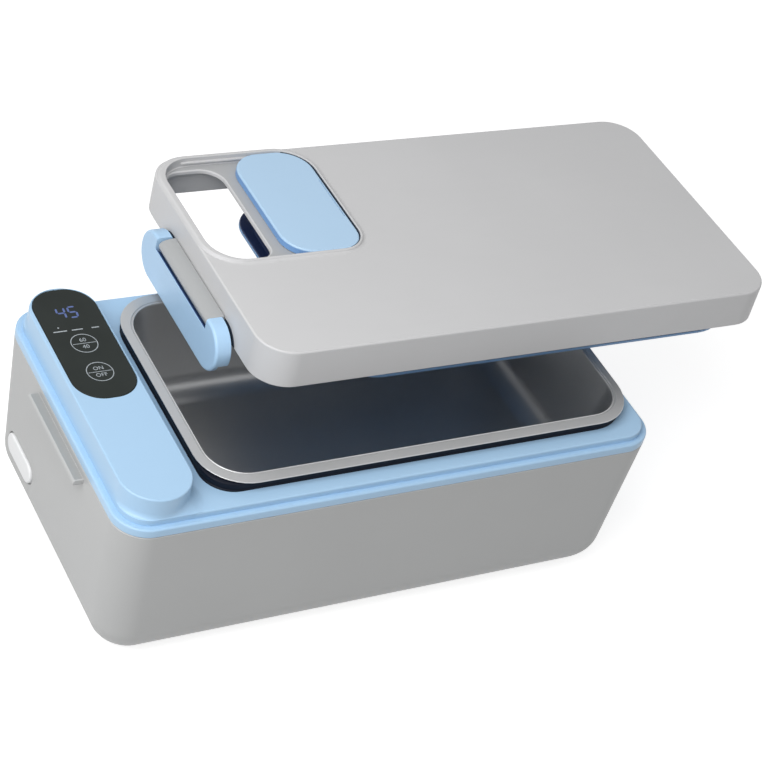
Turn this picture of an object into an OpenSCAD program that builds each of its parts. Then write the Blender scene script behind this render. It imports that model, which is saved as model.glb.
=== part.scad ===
// Electric lunch box: a drafted case with a heated well and a stainless food tray, a touch panel on a raised
// ridge, an inner lid, and a lift-off lid with a sliding window cover and an end clasp.
// Millimetres. X runs along the box, Y to the back, Z up. The origin is the middle of the foot ring's
// underside, on the table. The lid is held up off the base, tipped a little, as if lifted away.

/* [Case] */
// Length of the case at its rim
case_l = 260; // [245:1:300]
// Width of the case at its rim
case_w = 139.6; // [136:0.1:170]
// Height of the rim above the table
rim_z = 79.8; // [74:0.1:110]
// Thickness of the case's walls and floor
case_wall = 2.2; // [1.8:0.1:2.6]
// Plan radius of the case's corners at the rim
case_r = 15.2; // [13:0.1:19]
// How far each end leans in towards the floor
draft_x = 3.66; // [1:0.1:5]
// How far each long side leans in towards the floor
draft_y = 2.53; // [1:0.1:4]
// Radius that rounds the walls into the floor
base_round = 18; // [12:1:20]
// Distance of the catch rib and the clasp behind the middle
clasp_y = -1; // [-4:0.5:4]
// Length of the catch rib on the left wall
catch_l = 54.3; // [40:0.1:60]
// Height of the catch rib's lower edge
catch_z = 73.3; // [60:0.1:73.6]
// Height of the catch rib
catch_h = 2.8; // [2:0.1:3]
// How far the catch rib stands out from the wall at the rim
catch_out = 4.4; // [3:0.1:5]

/* [Bottom cover and foot] */
// Length of the bottom cover
cover_l = 184; // [170:1:190]
// Width of the bottom cover
cover_w = 86; // [80:1:90]
// Height of the case's underside above the table
foot_proud = 0.8; // [0.5:0.1:1.2]
// How deep the foot ring sits in its groove
foot_sunk = 1; // [0.8:0.1:1.2]
// Length of the foot ring
foot_l = 164; // [140:1:166]
// Width of the foot ring
foot_w = 66; // [56:1:68]
// Width of the foot ring's band
foot_band = 8; // [5:0.5:10]
// Radius of the foot ring's corners
foot_r = 12; // [8:1:14]
// Radius of the cover screws' shanks
cover_screw_r = 1.3; // [1:0.1:1.5]

/* [Deck] */
// Height of the coloured band above the rim
band_h = 4.26; // [3.5:0.01:6]
// How far the deck steps in from the band
deck_inset = 2.95; // [2:0.05:3.5]
// Height of the deck above the band's ledge
deck_rise = 2.84; // [2:0.01:4]
// Thickness of the deck plate
deck_t = 2.4; // [2:0.1:2.6]
// Depth of the deck's lip inside the case
lip_depth = 3; // [2.6:0.1:4]
// Clearance between the deck's lip and the case
lip_gap = 0.5; // [0.4:0.1:0.6]
// Thickness of the deck's lip
lip_t = 2; // [1.6:0.1:2.2]
// Length of each snap barb on the lip
snap_l = 14; // [8:1:18]

/* [Control ridge] */
// Width of the control ridge
ridge_w = 31.8; // [31:0.1:36]
// Height of the ridge's top above the deck
ridge_rise = 10.3; // [9:0.1:10.4]
// Gap from the ridge's front end to the deck's front edge
ridge_front_gap = 0.35; // [0.2:0.05:10]
// Wall of the ridge
ridge_wall = 2; // [1.6:0.1:2.2]

/* [Touch panel] */
// Width of the touch glass
glass_w = 28.7; // [26:0.1:28.8]
// Radius of the touch glass's corners
glass_r = 12.5; // [10:0.5:13]
// How far the touch glass sits to the right of the ridge's middle
glass_right = 0.45; // [0:0.05:0.5]
// Length of the touch glass
glass_l = 70.1; // [64:0.1:71]
// Thickness of the touch glass
glass_t = 1.2; // [0.8:0.1:1.6]
// Gap from the glass to the deck's back edge
glass_back_gap = 1.35; // [1.2:0.05:2]
// Clearance round the glass
glass_gap = 0.2; // [0.15:0.05:0.3]
// Thickness of the two circuit boards
board_t = 1.6; // [1:0.1:2]
// Radius of the two touch springs
spring_r = 5.6; // [4:0.1:6]
// Distance of the upper touch spring from the glass's middle, towards the front
spring_1 = 0.5; // [0:0.1:1]
// Distance of the lower touch spring from the glass's middle, towards the front
spring_2 = 18.9; // [17:0.1:20]

/* [Food tray and seal] */
// Gap from the ridge to the tray's rim
tray_ridge_gap = 7.55; // [6:0.05:9]
// Gap from the tray's rim to the deck's right edge
tray_end_gap = 3.65; // [3.4:0.05:5]
// Gap from the tray's rim to the deck's front and back edges
tray_side_gap = 6.35; // [6.2:0.05:9]
// Thickness of the tray's steel
tray_t = 0.8; // [0.6:0.1:1]
// Width of the tray's rim at its two ends
rim_end = 4.9; // [4.5:0.1:5.5]
// Width of the tray's rim at its two long sides
rim_side = 6.2; // [5.8:0.1:6.6]
// Plan radius of the tray's rim
tray_r = 21.7; // [19:0.1:24]
// How far each wall of the tray leans in over its depth
tray_draft = 5; // [2:0.1:6]
// Radius between the tray's walls and floor
tray_round = 11; // [8:0.5:12]
// Height of the seal ring under the tray's rim
seal_h = 4.3; // [3.8:0.1:5]
// How far the seal ring is inset under the rim
seal_inset = 1.2; // [1:0.1:1.4]

/* [Heating] */
// Thickness of the heating well
liner_t = 1.5; // [1:0.1:1.6]
// Clearance between the tray and the heating well
well_gap = 1.2; // [0.8:0.1:1.3]
// Clearance under the tray's floor
well_floor_gap = 0.3; // [0.2:0.1:0.5]
// Width of the well's flange at the long sides
flange_side = 6.5; // [6:0.1:7]
// Width of the well's flange at the ends
flange_end = 3.5; // [3:0.1:4]
// Radius of the well screws' shanks
liner_screw_r = 1.25; // [1:0.05:1.4]
// Length of the heating plate
plate_l = 150; // [120:1:170]
// Width of the heating plate
plate_w = 72; // [66:1:80]
// Thickness of the heating plate
plate_t = 3; // [2:0.1:4]
// Length of each heating bar
bar_l = 100; // [80:1:116]
// Width of each heating bar
bar_w = 16; // [12:1:18]
// Thickness of the heating bars and the sensors beside them
bar_t = 4; // [3:0.1:5]
// Distance of each heating bar from the middle
bar_y = 20; // [18:1:24]
// Thickness of the insulation pad
pad_t = 7.6; // [5:0.1:12]

/* [Battery] */
// Diameter of a battery cell
cell_d = 18.4; // [18:0.1:21.5]
// Length of a battery cell
cell_l = 65; // [60:1:68]
// Gap between neighbouring cells
cell_gap = 0.8; // [0.6:0.1:1]
// Thickness of the cell holder
holder_t = 1.5; // [1.2:0.1:2]
// Height of the cell holder's walls
holder_h = 10; // [8:0.5:12]
// Radius of the battery and heater leads
lead_r = 1; // [0.8:0.1:1.2]

/* [Charging port] */
// Distance of the port behind the middle of the left wall
port_y = 36.5; // [30:0.5:40]
// Height of the port's middle above the table
port_z = 27.2; // [26:0.1:34]
// Length of the port cover
port_l = 28; // [26:0.5:32]
// Height of the port cover
port_h = 10.4; // [10:0.1:13]
// Thickness of the port cover
port_t = 2.2; // [1.8:0.1:2.4]
// Depth of the shallow pocket that the port cover lies in
port_sunk = 1; // [0.8:0.1:1.2]
// Clearance round the port cover
port_gap = 0.8; // [0.6:0.1:1]
// Length of the hole behind the port cover
inlet_l = 18; // [16:0.5:19]
// Height of the hole behind the port cover
inlet_h = 8.6; // [8:0.1:9]
// Depth from the pocket to the socket's face
inlet_depth = 5.2; // [5:0.1:6]

/* [Lid] */
// Height of the lid's skirt
lid_h = 18.75; // [18.2:0.05:24]
// Thickness of the lid's walls and top
lid_wall = 2.4; // [2:0.1:2.5]
// Plan radius of the lid's corners
lid_r = 16; // [14:0.1:20]
// How far the held-up lid lies to the right of its closed place
lid_x = 73.46; // [60:0.01:90]
// How far the held-up lid lies behind its closed place
lid_y = 39.25; // [30:0.01:60]
// Height of the held-up lid's skirt above the table
lid_z = 109.58; // [109:0.01:140]
// Tip of the held-up lid about X, in degrees
lid_tip_x = -1.55; // [-2:0.01:0]
// Tip of the held-up lid about Y, in degrees
lid_tip_y = 0.29; // [-0.5:0.01:0.5]
// Turn of the held-up lid about Z, in degrees
lid_turn_z = -0.57; // [-2:0.01:2]

/* [Lid window] */
// Gap from the window recess to the lid's left edge
recess_left = 3.7; // [3.5:0.1:3.9]
// Gap from the window recess to the lid's back edge
recess_back = 2.8; // [2.6:0.1:3]
// Length of the window recess along the lid
recess_l = 73.3; // [72:0.1:80]
// Width of the window recess across the lid
recess_w = 74.5; // [74:0.1:80]
// Plan radius of the window recess
recess_r = 16; // [14:0.1:18]
// Depth of the window recess below the lid's top
recess_depth = 3.25; // [3.2:0.05:3.5]
// Thickness of the recess's floor
recess_floor = 1.8; // [1.6:0.1:1.9]
// Height of the raised lip round the recess
rim_lip_h = 1.3; // [0.8:0.1:1.5]
// Width of the raised lip round the recess
rim_lip_w = 2.2; // [1.8:0.1:2.4]
// How far the window is smaller than the glass at each side
window_trim_w = 0; // [0:0.1:1]
// How far the window is smaller than the glass at each end
window_trim_l = 2.2; // [1:0.1:3]
// Radius of the window's corners
window_r = 10; // [9:0.5:12]
// Length of the sliding cover along the lid
slider_l = 37.4; // [36:0.1:38]
// Thickness of the sliding cover
slider_t = 3.8; // [3.4:0.1:4]
// Clearance between the sliding cover and the recess
slider_gap = 0.35; // [0.3:0.05:0.5]
// Gap from the open cover to the recess's right edge
slider_park = 0.6; // [0.5:0.1:1.5]
// How far the guide rails stand out of the recess's walls
rail_out = 1; // [0.8:0.1:1.2]
// Thickness of the guide rails
rail_t = 1; // [0.8:0.1:1.2]

/* [Inner lid] */
// How far the inner lid reaches past the tray's rim
inner_margin = 1.2; // [0:0.1:1.2]
// Thickness of the inner lid's flange
flange_t = 2.6; // [2.4:0.1:2.8]
// Whole height of the inner lid
inner_h = 5.2; // [4.8:0.1:5.3]
// How far the inner lid's raised part is inset from its edge
inner_inset = 5; // [4:0.1:8]
// How far the inner lid hangs below the lid's skirt
inner_hang = 9.5; // [9:0.1:9.8]
// Width of the inner lid's gasket
gasket_w = 2.6; // [2:0.1:3]
// Depth of the gasket's groove
gasket_t = 1.5; // [1.2:0.1:1.6]

/* [Clasp] */
// Distance from the lid's left face to the clasp's pivot
pivot_out = 4.1; // [4:0.1:4.5]
// Height of the clasp's pivot above the skirt's lower edge
pivot_z = 4.8; // [4.4:0.1:6]
// Radius of the clasp's barrel on the lid
barrel_r = 4.1; // [3.6:0.1:4.1]
// Length of the barrel
barrel_l = 55.5; // [45:0.1:56]
// Radius of the clasp's pin
pin_r = 1.6; // [1.2:0.1:1.8]
// Running clearance round the pin
pin_gap = 0.05; // [0.03:0.01:0.1]
// How far the clasp's face stands out from its pivot
clasp_out = 4.9; // [4:0.1:5]
// Length of the clasp
clasp_l = 85; // [74:0.1:90]
// Height of the clasp
clasp_h = 23.6; // [23.4:0.1:24.5]
// Thickness of the clasp's plate
clasp_t = 2.6; // [2.2:0.1:2.8]
// Thickness of the clasp's arms
arm_t = 7.4; // [6:0.1:7.5]
// How far the clasp's arms reach below the skirt's lower edge
arm_drop = 8; // [4:0.5:9]
// Radius of the clasp's knuckles
knuckle_r = 2.9; // [2.8:0.1:3.6]
// How far the clasp hangs below the skirt's lower edge
clasp_drop = 15.6; // [15.4:0.1:18]
// Height of the hook lip inside the clasp
hook_h = 2.5; // [2:0.1:3]
// How far the hook lip reaches in behind the plate
hook_reach = 4.9; // [4:0.1:5]
// How far the clasp's pin reaches past each end of the barrel
pin_past = 4.75; // [4:0.05:5]
// Height of the plate's edge in front of the barrel
clasp_edge = 2.3; // [2:0.1:3.6]
// Clearance between the barrel and the hollow it turns in
clasp_hollow = 1.2; // [0.5:0.1:1.2]
// How far the web under the barrel reaches below the skirt's lower edge
web_drop = 1.2; // [1.2:0.1:4]
// Height of the barrel's flat top above its pivot
barrel_top = 3.1; // [2.8:0.1:3.6]

/* [Hidden] */

// Arcs of exact circles, arcs inside a hull, and the overlap used where one cut runs past a face
$fn = 48;
hull_fn = 40;
eps = 0.01;
past = 1;
// Clearance between faces that meet but must not overlap
seat_gap = 0.3;
// Clearance of a screw in its hole
screw_gap = 0.1;

// Base levels, from the table up
floor_z = foot_proud;
cover_top_z = floor_z + case_wall;
frame_t = 2.2;
ledge_z = rim_z + band_h;
deck_z = ledge_z + deck_rise;
deck_under_z = deck_z - deck_t;
ridge_z = deck_z + ridge_rise;

// Deck plan
deck_l = case_l - 2 * deck_inset;
deck_w = case_w - 2 * deck_inset;
deck_r = case_r - deck_inset;
lip_l = case_l - 2 * (case_wall + lip_gap);
lip_w = case_w - 2 * (case_wall + lip_gap);
lip_r = case_r - case_wall;
hollow_l = lip_l - 2 * lip_t;
hollow_w = lip_w - 2 * lip_t;
hollow_r = lip_r - lip_t;
snap_out = 1;
snap_h = 1.6;
snap_pitch = 80;

// Ridge and glass plan
ridge_x = -deck_l / 2 + ridge_w / 2;
ridge_l = deck_w - ridge_front_gap;
ridge_y = ridge_front_gap / 2;
glass_x = ridge_x + glass_right;
glass_y = deck_w / 2 - glass_back_gap - glass_l / 2;
glass_under_z = ridge_z - glass_t;
shelf_t = 1.2;
display_h = 5;
display_l = 16;
display_w = 14;
display_y = glass_y + 20.5;
control_z = glass_under_z - shelf_t - 3.9 - board_t;
control_w = ridge_w - 2 * ridge_wall - 3.8;
control_l = glass_l - 2;
control_post_r = 2.1;
control_post_front = glass_l / 2 - 5;
control_post_back = glass_l / 2 - 3.6;
control_screw_r = 0.9;

// Tray, seal and heating well plan
tray_l = deck_l - ridge_w - tray_ridge_gap - tray_end_gap;
tray_w = deck_w - 2 * tray_side_gap;
tray_x = deck_l / 2 - tray_end_gap - tray_l / 2;
tub_l = tray_l - 2 * rim_end;
tub_w = tray_w - 2 * rim_side;
tub_r = tray_r - rim_end;
well_l = tub_l + 2 * (tray_t + well_gap);
well_w = tub_w + 2 * (tray_t + well_gap);
well_r = tub_r + well_gap;
flange_hole_y = well_w / 2 + liner_t + (flange_side - liner_t) / 2;
liner_screw_pitch = 78;

// Heating stack, from the cells up to the tray
holder_z = cover_top_z;
cell_z = holder_z + holder_t + cell_d / 2 + seat_gap / 3;
pad_z = cell_z + cell_d / 2 + seat_gap;
bar_z = pad_z + pad_t + seat_gap;
plate_z = bar_z + bar_t;
liner_z = plate_z + plate_t;
tray_floor_z = liner_z + liner_t + well_floor_gap;
cutoff_r = 6;
sensor_r = 3;
sensor_x = bar_l / 2 - 15;
rim_top_z = deck_z + seal_h + tray_t;
tray_depth = rim_top_z - tray_floor_z;

// Battery plan
cells_l = 2 * cell_l + 3 * cell_gap;
cells_w = 3 * cell_d + 4 * cell_gap;
cell_pitch = cell_d + cell_gap;
strip_t = 0.3;

// Left compartment
power_x = -case_l / 2 + 22;
power_l = 24;
power_w = 84;
power_z = 12.4;
power_post_x = 8;
power_post_y = 36;
power_post_r = 3;
power_screw_r = 1.2;
wall_x = -case_l / 2 + draft_x * (1 - port_z / rim_z);
pocket_x = wall_x + port_sunk;
socket_x = pocket_x + inlet_depth;
socket_l = 26;
socket_h = 13;
socket_flange_t = 1.5;
socket_body_l = 12;
socket_body_h = 6;
socket_body_d = 8;
socket_screw_y = 10.9;
socket_screw_r = 0.9;

// Lid plan, in the lid's own frame: Z from the skirt's lower edge
lid_l = case_l;
lid_w = case_w;
recess_x0 = -lid_l / 2 + recess_left;
recess_y1 = lid_w / 2 - recess_back;
recess_cx = recess_x0 + recess_l / 2;
recess_cy = recess_y1 - recess_w / 2;
recess_z = lid_h - recess_depth;
window_l = glass_l - 2 * window_trim_l;
window_w = glass_w - 2 * window_trim_w;
slider_w = recess_w - 2 * slider_gap;
slider_x = recess_x0 + recess_l - slider_park - slider_l / 2;
slider_z = recess_z + seat_gap;
rail_z = slider_z + 1.2;
rail_l = recess_l - 2 * recess_r;
pivot_x = -lid_l / 2 - pivot_out;
clasp_face = pivot_x - clasp_out;
pin_l = barrel_l + 2 * pin_past;
press_rib_t = 2;
press_rib_y = 30;
press_rib_gap = 8;
press_rib_l = lid_l / 2 - press_rib_y;
press_rib_z = rim_top_z + inner_h + seat_gap - ledge_z;
tongue_l = 30;
tongue_t = 1.8;
tongue_drop = 2.6;
tongue_x = lid_l / 2 - lid_wall - tongue_t;
barb_out = 0.8;
barb_h = 1.4;
tongue_gap = 0.4;

// Flat plan shapes ------------------------------------------------------------------------------------

// A rectangle with round corners
module rounded_rect(l, w, r) {
    square([l - 2 * r, w], center = true);
    square([l, w - 2 * r], center = true);
    for (x = [-1, 1], y = [-1, 1])
        translate([x * (l / 2 - r), y * (w / 2 - r)]) circle(r = r);
}

// A slot with round ends, long along Y
module slot_shape(l, w) {
    square([w, l - w], center = true);
    for (y = [-1, 1])
        translate([0, y * (l - w) / 2]) circle(d = w);
}

// A block with a rounded plan
module slab(l, w, r, h) {
    linear_extrude(h) rounded_rect(l, w, r);
}

// A block with a slot-shaped plan
module slot_block(l, w, h) {
    linear_extrude(h) slot_shape(l, w);
}

// A closed tub: walls that lean in by dx and dy over the height, rounded into the floor
module tub(l, w, r, h, dx, dy, round) {
    steps = 6;
    hull() {
        translate([0, 0, h - eps]) linear_extrude(eps) rounded_rect(l, w, r, $fn = hull_fn);
        for (i = [0:steps]) {
            a = 90 * i / steps;
            z = round * (1 - sin(a));
            lean = 1 - z / h;
            in = round * (1 - cos(a));
            translate([0, 0, z]) linear_extrude(eps)
                rounded_rect(l - 2 * (dx * lean + in), w - 2 * (dy * lean + in),
                             r * (1 - 0.6 * in / round), $fn = hull_fn);
        }
    }
}

// A tube of 8 sides along points that share one Y
module lead(points, r) {
    n = len(points);
    sides = 8;
    dirs = [for (i = [0:n - 1])
        let (a = points[max(i - 1, 0)], b = points[min(i + 1, n - 1)]) (b - a) / norm(b - a)];
    rings = [for (i = [0:n - 1], k = [0:sides - 1])
        let (t = 360 * k / sides, out = [dirs[i][2], 0, -dirs[i][0]])
            points[i] + r * (cos(t) * out + sin(t) * [0, 1, 0])];
    sides_faces = [for (i = [0:n - 2], k = [0:sides - 1])
        [i * sides + k, i * sides + (k + 1) % sides, (i + 1) * sides + (k + 1) % sides, (i + 1) * sides + k]];
    start = [[for (k = [sides - 1:-1:0]) k]];
    end = [[for (k = [0:sides - 1]) (n - 1) * sides + k]];
    polyhedron(points = rings, faces = concat(sides_faces, start, end));
}

// The lid's frame, held up off the base
module on_lid() {
    translate([lid_x, lid_y, lid_z]) rotate([lid_tip_x, lid_tip_y, lid_turn_z]) children();
}

// Base ------------------------------------------------------------------------------------------------

module case_outside() {
    translate([0, 0, floor_z])
        tub(case_l, case_w, case_r, rim_z - floor_z, draft_x, draft_y, base_round);
}

module case_inside() {
    translate([0, 0, floor_z + case_wall])
        tub(case_l - 2 * case_wall, case_w - 2 * case_wall, case_r - case_wall,
            rim_z - floor_z - case_wall + past, draft_x, draft_y, base_round - case_wall);
}

module cover_screw_places() {
    x = cover_l / 2 - 4;
    y = cover_w / 2 - 4;
    for (px = [-x, 0, x], py = [-y, y])
        translate([px, py, 0]) children();
}

// Case: drafted walls, floor with the battery opening, catch rib, port pocket and board posts
module outer_case() {
    boss_r = 3.4;
    frame_w = 8;
    color("gainsboro") difference() {
        union() {
            difference() {
                case_outside();
                case_inside();
            }
            // frame round the bottom opening, with the cover's screw bosses
            translate([0, 0, cover_top_z - eps])
                slab(cover_l + frame_w, cover_w + frame_w, 8, frame_t);
            cover_screw_places() translate([0, 0, cover_top_z]) cylinder(r = boss_r, h = 6);
            // posts for the power board
            intersection() {
                case_outside();
                for (px = [-1, 1], py = [-1, 1])
                    translate([power_x + px * power_post_x, py * power_post_y, floor_z + case_wall / 2])
                        cylinder(r = power_post_r, h = power_z - floor_z - case_wall / 2);
            }
            // pad that the charging socket is screwed to
            translate([wall_x + case_wall / 2, port_y - socket_l / 2 - 1, port_z - socket_h / 2 - 1])
                cube([socket_x - wall_x - case_wall / 2, socket_l + 2, socket_h + 2]);
            // catch rib: flat below for the clasp's hook, sloped above
            translate([-case_l / 2, clasp_y + catch_l / 2, catch_z]) rotate([90, 0, 0])
                linear_extrude(catch_l)
                polygon([[case_wall / 2, 0], [-catch_out, 0], [-catch_out, catch_h * 0.75],
                         [-catch_out + catch_h * 0.25, catch_h], [case_wall / 2, catch_h]]);
        }
        // opening for the bottom cover, and the smaller hole in the frame above it
        translate([0, 0, floor_z - past])
            slab(cover_l + seat_gap, cover_w + seat_gap, 8, case_wall + past);
        translate([0, 0, floor_z - past])
            slab(cover_l - 2 * frame_w - 2, cover_w - 2 * frame_w - 2, 6, case_wall + frame_t + 2 * past);
        cover_screw_places() translate([0, 0, floor_z])
            cylinder(r = cover_screw_r + screw_gap, h = 7 + case_wall);
        for (px = [-1, 1], py = [-1, 1])
            translate([power_x + px * power_post_x, py * power_post_y, floor_z + 5])
                cylinder(r = power_screw_r + screw_gap, h = power_z);
        // pocket for the port cover, and the inlet through to the socket
        translate([pocket_x, port_y, port_z]) rotate([0, -90, 0])
            slot_block(port_l + 2 * port_gap, port_h + 2 * port_gap, 6);
        translate([socket_x + past, port_y, port_z]) rotate([0, -90, 0])
            slot_block(inlet_l, inlet_h, inlet_depth + 2 * past);
        for (py = [-1, 1])
            translate([socket_x + past, port_y + py * socket_screw_y, port_z]) rotate([0, -90, 0])
                cylinder(r = socket_screw_r + screw_gap, h = 5);
        // pockets for the deck's snap barbs
        for (px = [-1, 0, 1], py = [-1, 1])
            translate([px * snap_pitch, py * (lip_w / 2 + snap_out / 2 + 0.2),
                       rim_z - lip_depth + snap_h / 2 + 0.4])
                cube([snap_l + 0.6, snap_out + 0.2, snap_h + 0.6], center = true);
    }
}

// Bottom cover: plate over the batteries, with the foot ring's groove
module bottom_cover() {
    color("lightgray") difference() {
        translate([0, 0, floor_z]) slab(cover_l - seat_gap, cover_w - seat_gap, 7.7, case_wall);
        translate([0, 0, floor_z - past]) difference() {
            slab(foot_l + seat_gap, foot_w + seat_gap, foot_r, foot_sunk + past);
            slab(foot_l - 2 * foot_band - seat_gap, foot_w - 2 * foot_band - seat_gap, foot_r / 2,
                 foot_sunk + past);
        }
        cover_screw_places() translate([0, 0, floor_z - past])
            cylinder(r = cover_screw_r + screw_gap, h = case_wall + 2 * past);
        cover_screw_places() translate([0, 0, floor_z - past])
            cylinder(r = 2.6, h = 1 + past);
    }
}

// Foot ring: rubber band that the box stands on
module foot_ring() {
    color("dimgray") difference() {
        slab(foot_l, foot_w, foot_r, foot_proud + foot_sunk);
        translate([0, 0, -past])
            slab(foot_l - 2 * foot_band, foot_w - 2 * foot_band, foot_r / 2, foot_proud + foot_sunk + 2 * past);
    }
}

module cover_screws() {
    color("silver") cover_screw_places() {
        translate([0, 0, floor_z + 0.1]) cylinder(r = 2.4, h = 0.9);
        translate([0, 0, floor_z + 1]) cylinder(r = cover_screw_r, h = 6);
    }
}

// The ridge's outline, or its hollow's where it is set in by a wall
module ridge_plan(wall) {
    translate([ridge_x, ridge_y]) slot_shape(ridge_l - 2 * wall, ridge_w - 2 * wall);
}

module liner_screw_places() {
    for (px = [-1, 0, 1], py = [-1, 1])
        translate([tray_x + px * liner_screw_pitch, py * flange_hole_y, 0]) children();
}

module control_post_places() {
    for (dy = [-control_post_front, control_post_back])
        translate([ridge_x, glass_y + dy, 0]) children();
}

// Deck: coloured band, ledge, well opening and the hollow control ridge, in one moulding
module top_deck() {
    color("lightblue") difference() {
        union() {
            translate([0, 0, rim_z]) slab(case_l, case_w, case_r, band_h);
            translate([0, 0, rim_z]) slab(deck_l, deck_w, deck_r, deck_z - rim_z);
            translate([0, 0, rim_z - lip_depth]) slab(lip_l, lip_w, lip_r, lip_depth + eps);
            translate([0, 0, deck_under_z]) linear_extrude(ridge_z - deck_under_z) intersection() {
                rounded_rect(deck_l, deck_w, deck_r);
                ridge_plan(0);
            }
            for (px = [-1, 0, 1], py = [-1, 1])
                translate([px * snap_pitch, py * lip_w / 2, rim_z - lip_depth + snap_h / 2 + 0.4])
                    cube([snap_l, snap_out * 1.6, snap_h], center = true);
        }
        translate([0, 0, rim_z - lip_depth - past])
            slab(hollow_l, hollow_w, hollow_r, deck_under_z - rim_z + lip_depth + past);
        // opening that the tray hangs in
        translate([tray_x, 0, rim_z]) slab(well_l, well_w, well_r, deck_rise + band_h + past);
        // hollow of the ridge, up to the shelf under the glass, and the shelf's windows
        translate([0, 0, deck_under_z - eps])
            linear_extrude(glass_under_z - shelf_t - deck_under_z + eps) ridge_plan(ridge_wall);
        translate([ridge_x, display_y, glass_under_z - shelf_t - past]) linear_extrude(shelf_t + 2 * past)
            square([display_w + 2 * seat_gap, display_l + 2 * seat_gap], center = true);
        for (dy = [spring_1, spring_2])
            translate([ridge_x, glass_y - dy, glass_under_z - shelf_t - past])
                cylinder(r = spring_r + seat_gap, h = shelf_t + 2 * past);
        translate([glass_x, glass_y, glass_under_z])
            slab(glass_w + 2 * glass_gap, glass_l + 2 * glass_gap, glass_r + glass_gap, glass_t + past);
        liner_screw_places() translate([0, 0, deck_under_z - past])
            cylinder(r = liner_screw_r + screw_gap, h = 1.6 + past);
        // slot for the lid's tongue, undercut for its barb
        translate([tongue_x - tongue_gap, -tongue_l / 2 - tongue_gap, ledge_z - tongue_drop - tongue_gap])
            cube([tongue_t + 2 * tongue_gap, tongue_l + 2 * tongue_gap, 20]);
        translate([tongue_x, -tongue_l / 2 - tongue_gap, ledge_z - tongue_drop - tongue_gap])
            cube([tongue_t + barb_out + tongue_gap, tongue_l + 2 * tongue_gap, barb_h + 2 * tongue_gap]);
    }
    // posts that carry the control board
    color("lightblue") control_post_places() difference() {
        translate([0, 0, control_z + board_t])
            cylinder(r = control_post_r, h = glass_under_z - shelf_t - control_z - board_t);
        translate([0, 0, control_z + board_t - past])
            cylinder(r = control_screw_r + screw_gap, h = 3.4 + past);
    }
}

module touch_glass() {
    color("dimgray") translate([glass_x, glass_y, glass_under_z]) slab(glass_w, glass_l, glass_r, glass_t);
}

module display_module() {
    color("darkslategray") translate([ridge_x, display_y, control_z + board_t])
        linear_extrude(display_h) square([display_w, display_l], center = true);
}

module touch_springs() {
    h = glass_under_z - control_z - board_t;
    color("gold") for (dy = [spring_1, spring_2])
        translate([ridge_x, glass_y - dy, control_z + board_t]) difference() {
            cylinder(r = spring_r, h = h);
            translate([0, 0, -past]) cylinder(r = spring_r - 0.8, h = h + 2 * past);
        }
}

module control_board() {
    color("seagreen") translate([0, 0, control_z]) difference() {
        translate([ridge_x, glass_y, 0]) slot_block(control_l, control_w, board_t);
        control_post_places() translate([0, 0, -past])
            cylinder(r = control_screw_r + screw_gap, h = board_t + 2 * past);
    }
}

module control_board_screws() {
    color("silver") control_post_places() {
        translate([0, 0, control_z - 1]) cylinder(r = 1.8, h = 1);
        translate([0, 0, control_z]) cylinder(r = control_screw_r, h = board_t + 3);
    }
}

// Seal ring: silicone collar round the well that the tray's rim rests on
module tray_seal() {
    color("midnightblue") translate([tray_x, 0, deck_z]) difference() {
        slab(tray_l - 2 * seal_inset, tray_w - 2 * seal_inset, tray_r - seal_inset, seal_h);
        translate([0, 0, -past]) slab(well_l, well_w, well_r, seal_h + 2 * past);
    }
}

// Food tray: pressed steel tub with a flat rim
module food_tray() {
    color("silver") translate([tray_x, 0, tray_floor_z]) difference() {
        union() {
            tub(tub_l + 2 * tray_t, tub_w + 2 * tray_t, tub_r + tray_t, tray_depth,
                tray_draft, tray_draft, tray_round);
            translate([0, 0, tray_depth - tray_t]) slab(tray_l, tray_w, tray_r, tray_t);
        }
        translate([0, 0, tray_t])
            tub(tub_l, tub_w, tub_r, tray_depth - tray_t + eps, tray_draft, tray_draft, tray_round - tray_t);
        translate([0, 0, tray_depth - eps]) slab(tub_l, tub_w, tub_r, past);
    }
}

// Heating well: aluminium pot that hangs under the deck by its flange
module well_liner() {
    depth = deck_under_z - liner_z;
    color("lightgray") translate([tray_x, 0, liner_z]) difference() {
        union() {
            tub(well_l + 2 * liner_t, well_w + 2 * liner_t, well_r + liner_t, depth,
                tray_draft, tray_draft, tray_round);
            translate([0, 0, depth - liner_t])
                slab(well_l + 2 * flange_end, well_w + 2 * flange_side, well_r + flange_end, liner_t);
        }
        translate([0, 0, liner_t])
            tub(well_l, well_w, well_r, depth - liner_t + eps, tray_draft, tray_draft, tray_round - liner_t);
        translate([0, 0, depth - eps]) slab(well_l, well_w, well_r, past);
        translate([-tray_x, 0, depth - liner_t - past]) liner_screw_places()
            cylinder(r = liner_screw_r + screw_gap, h = liner_t + 2 * past);
    }
}

module liner_screws() {
    color("silver") liner_screw_places() {
        translate([0, 0, deck_under_z - liner_t - 1.6]) cylinder(r = 2.1, h = 1.6);
        translate([0, 0, deck_under_z - liner_t]) cylinder(r = liner_screw_r, h = liner_t + 1.4);
    }
}

module heating_plate() {
    color("darkgray") translate([tray_x, 0, plate_z]) slab(plate_l, plate_w, 10, plate_t);
}

module heater_bars() {
    color("brown") for (py = [-1, 1])
        translate([tray_x - bar_l / 2, py * bar_y - bar_w / 2, bar_z]) cube([bar_l, bar_w, bar_t]);
}

module thermal_cutoff() {
    color("black") translate([tray_x, 0, bar_z]) cylinder(r = cutoff_r, h = bar_t);
}

module temperature_sensor() {
    color("darkorange") translate([tray_x + sensor_x, 0, bar_z]) cylinder(r = sensor_r, h = bar_t);
}

// Insulation pad between the heating plate and the cells
module insulation_pad() {
    color("beige") translate([tray_x, 0, pad_z]) slab(plate_l + 22, plate_w + 12, 12, pad_t);
}

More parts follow.
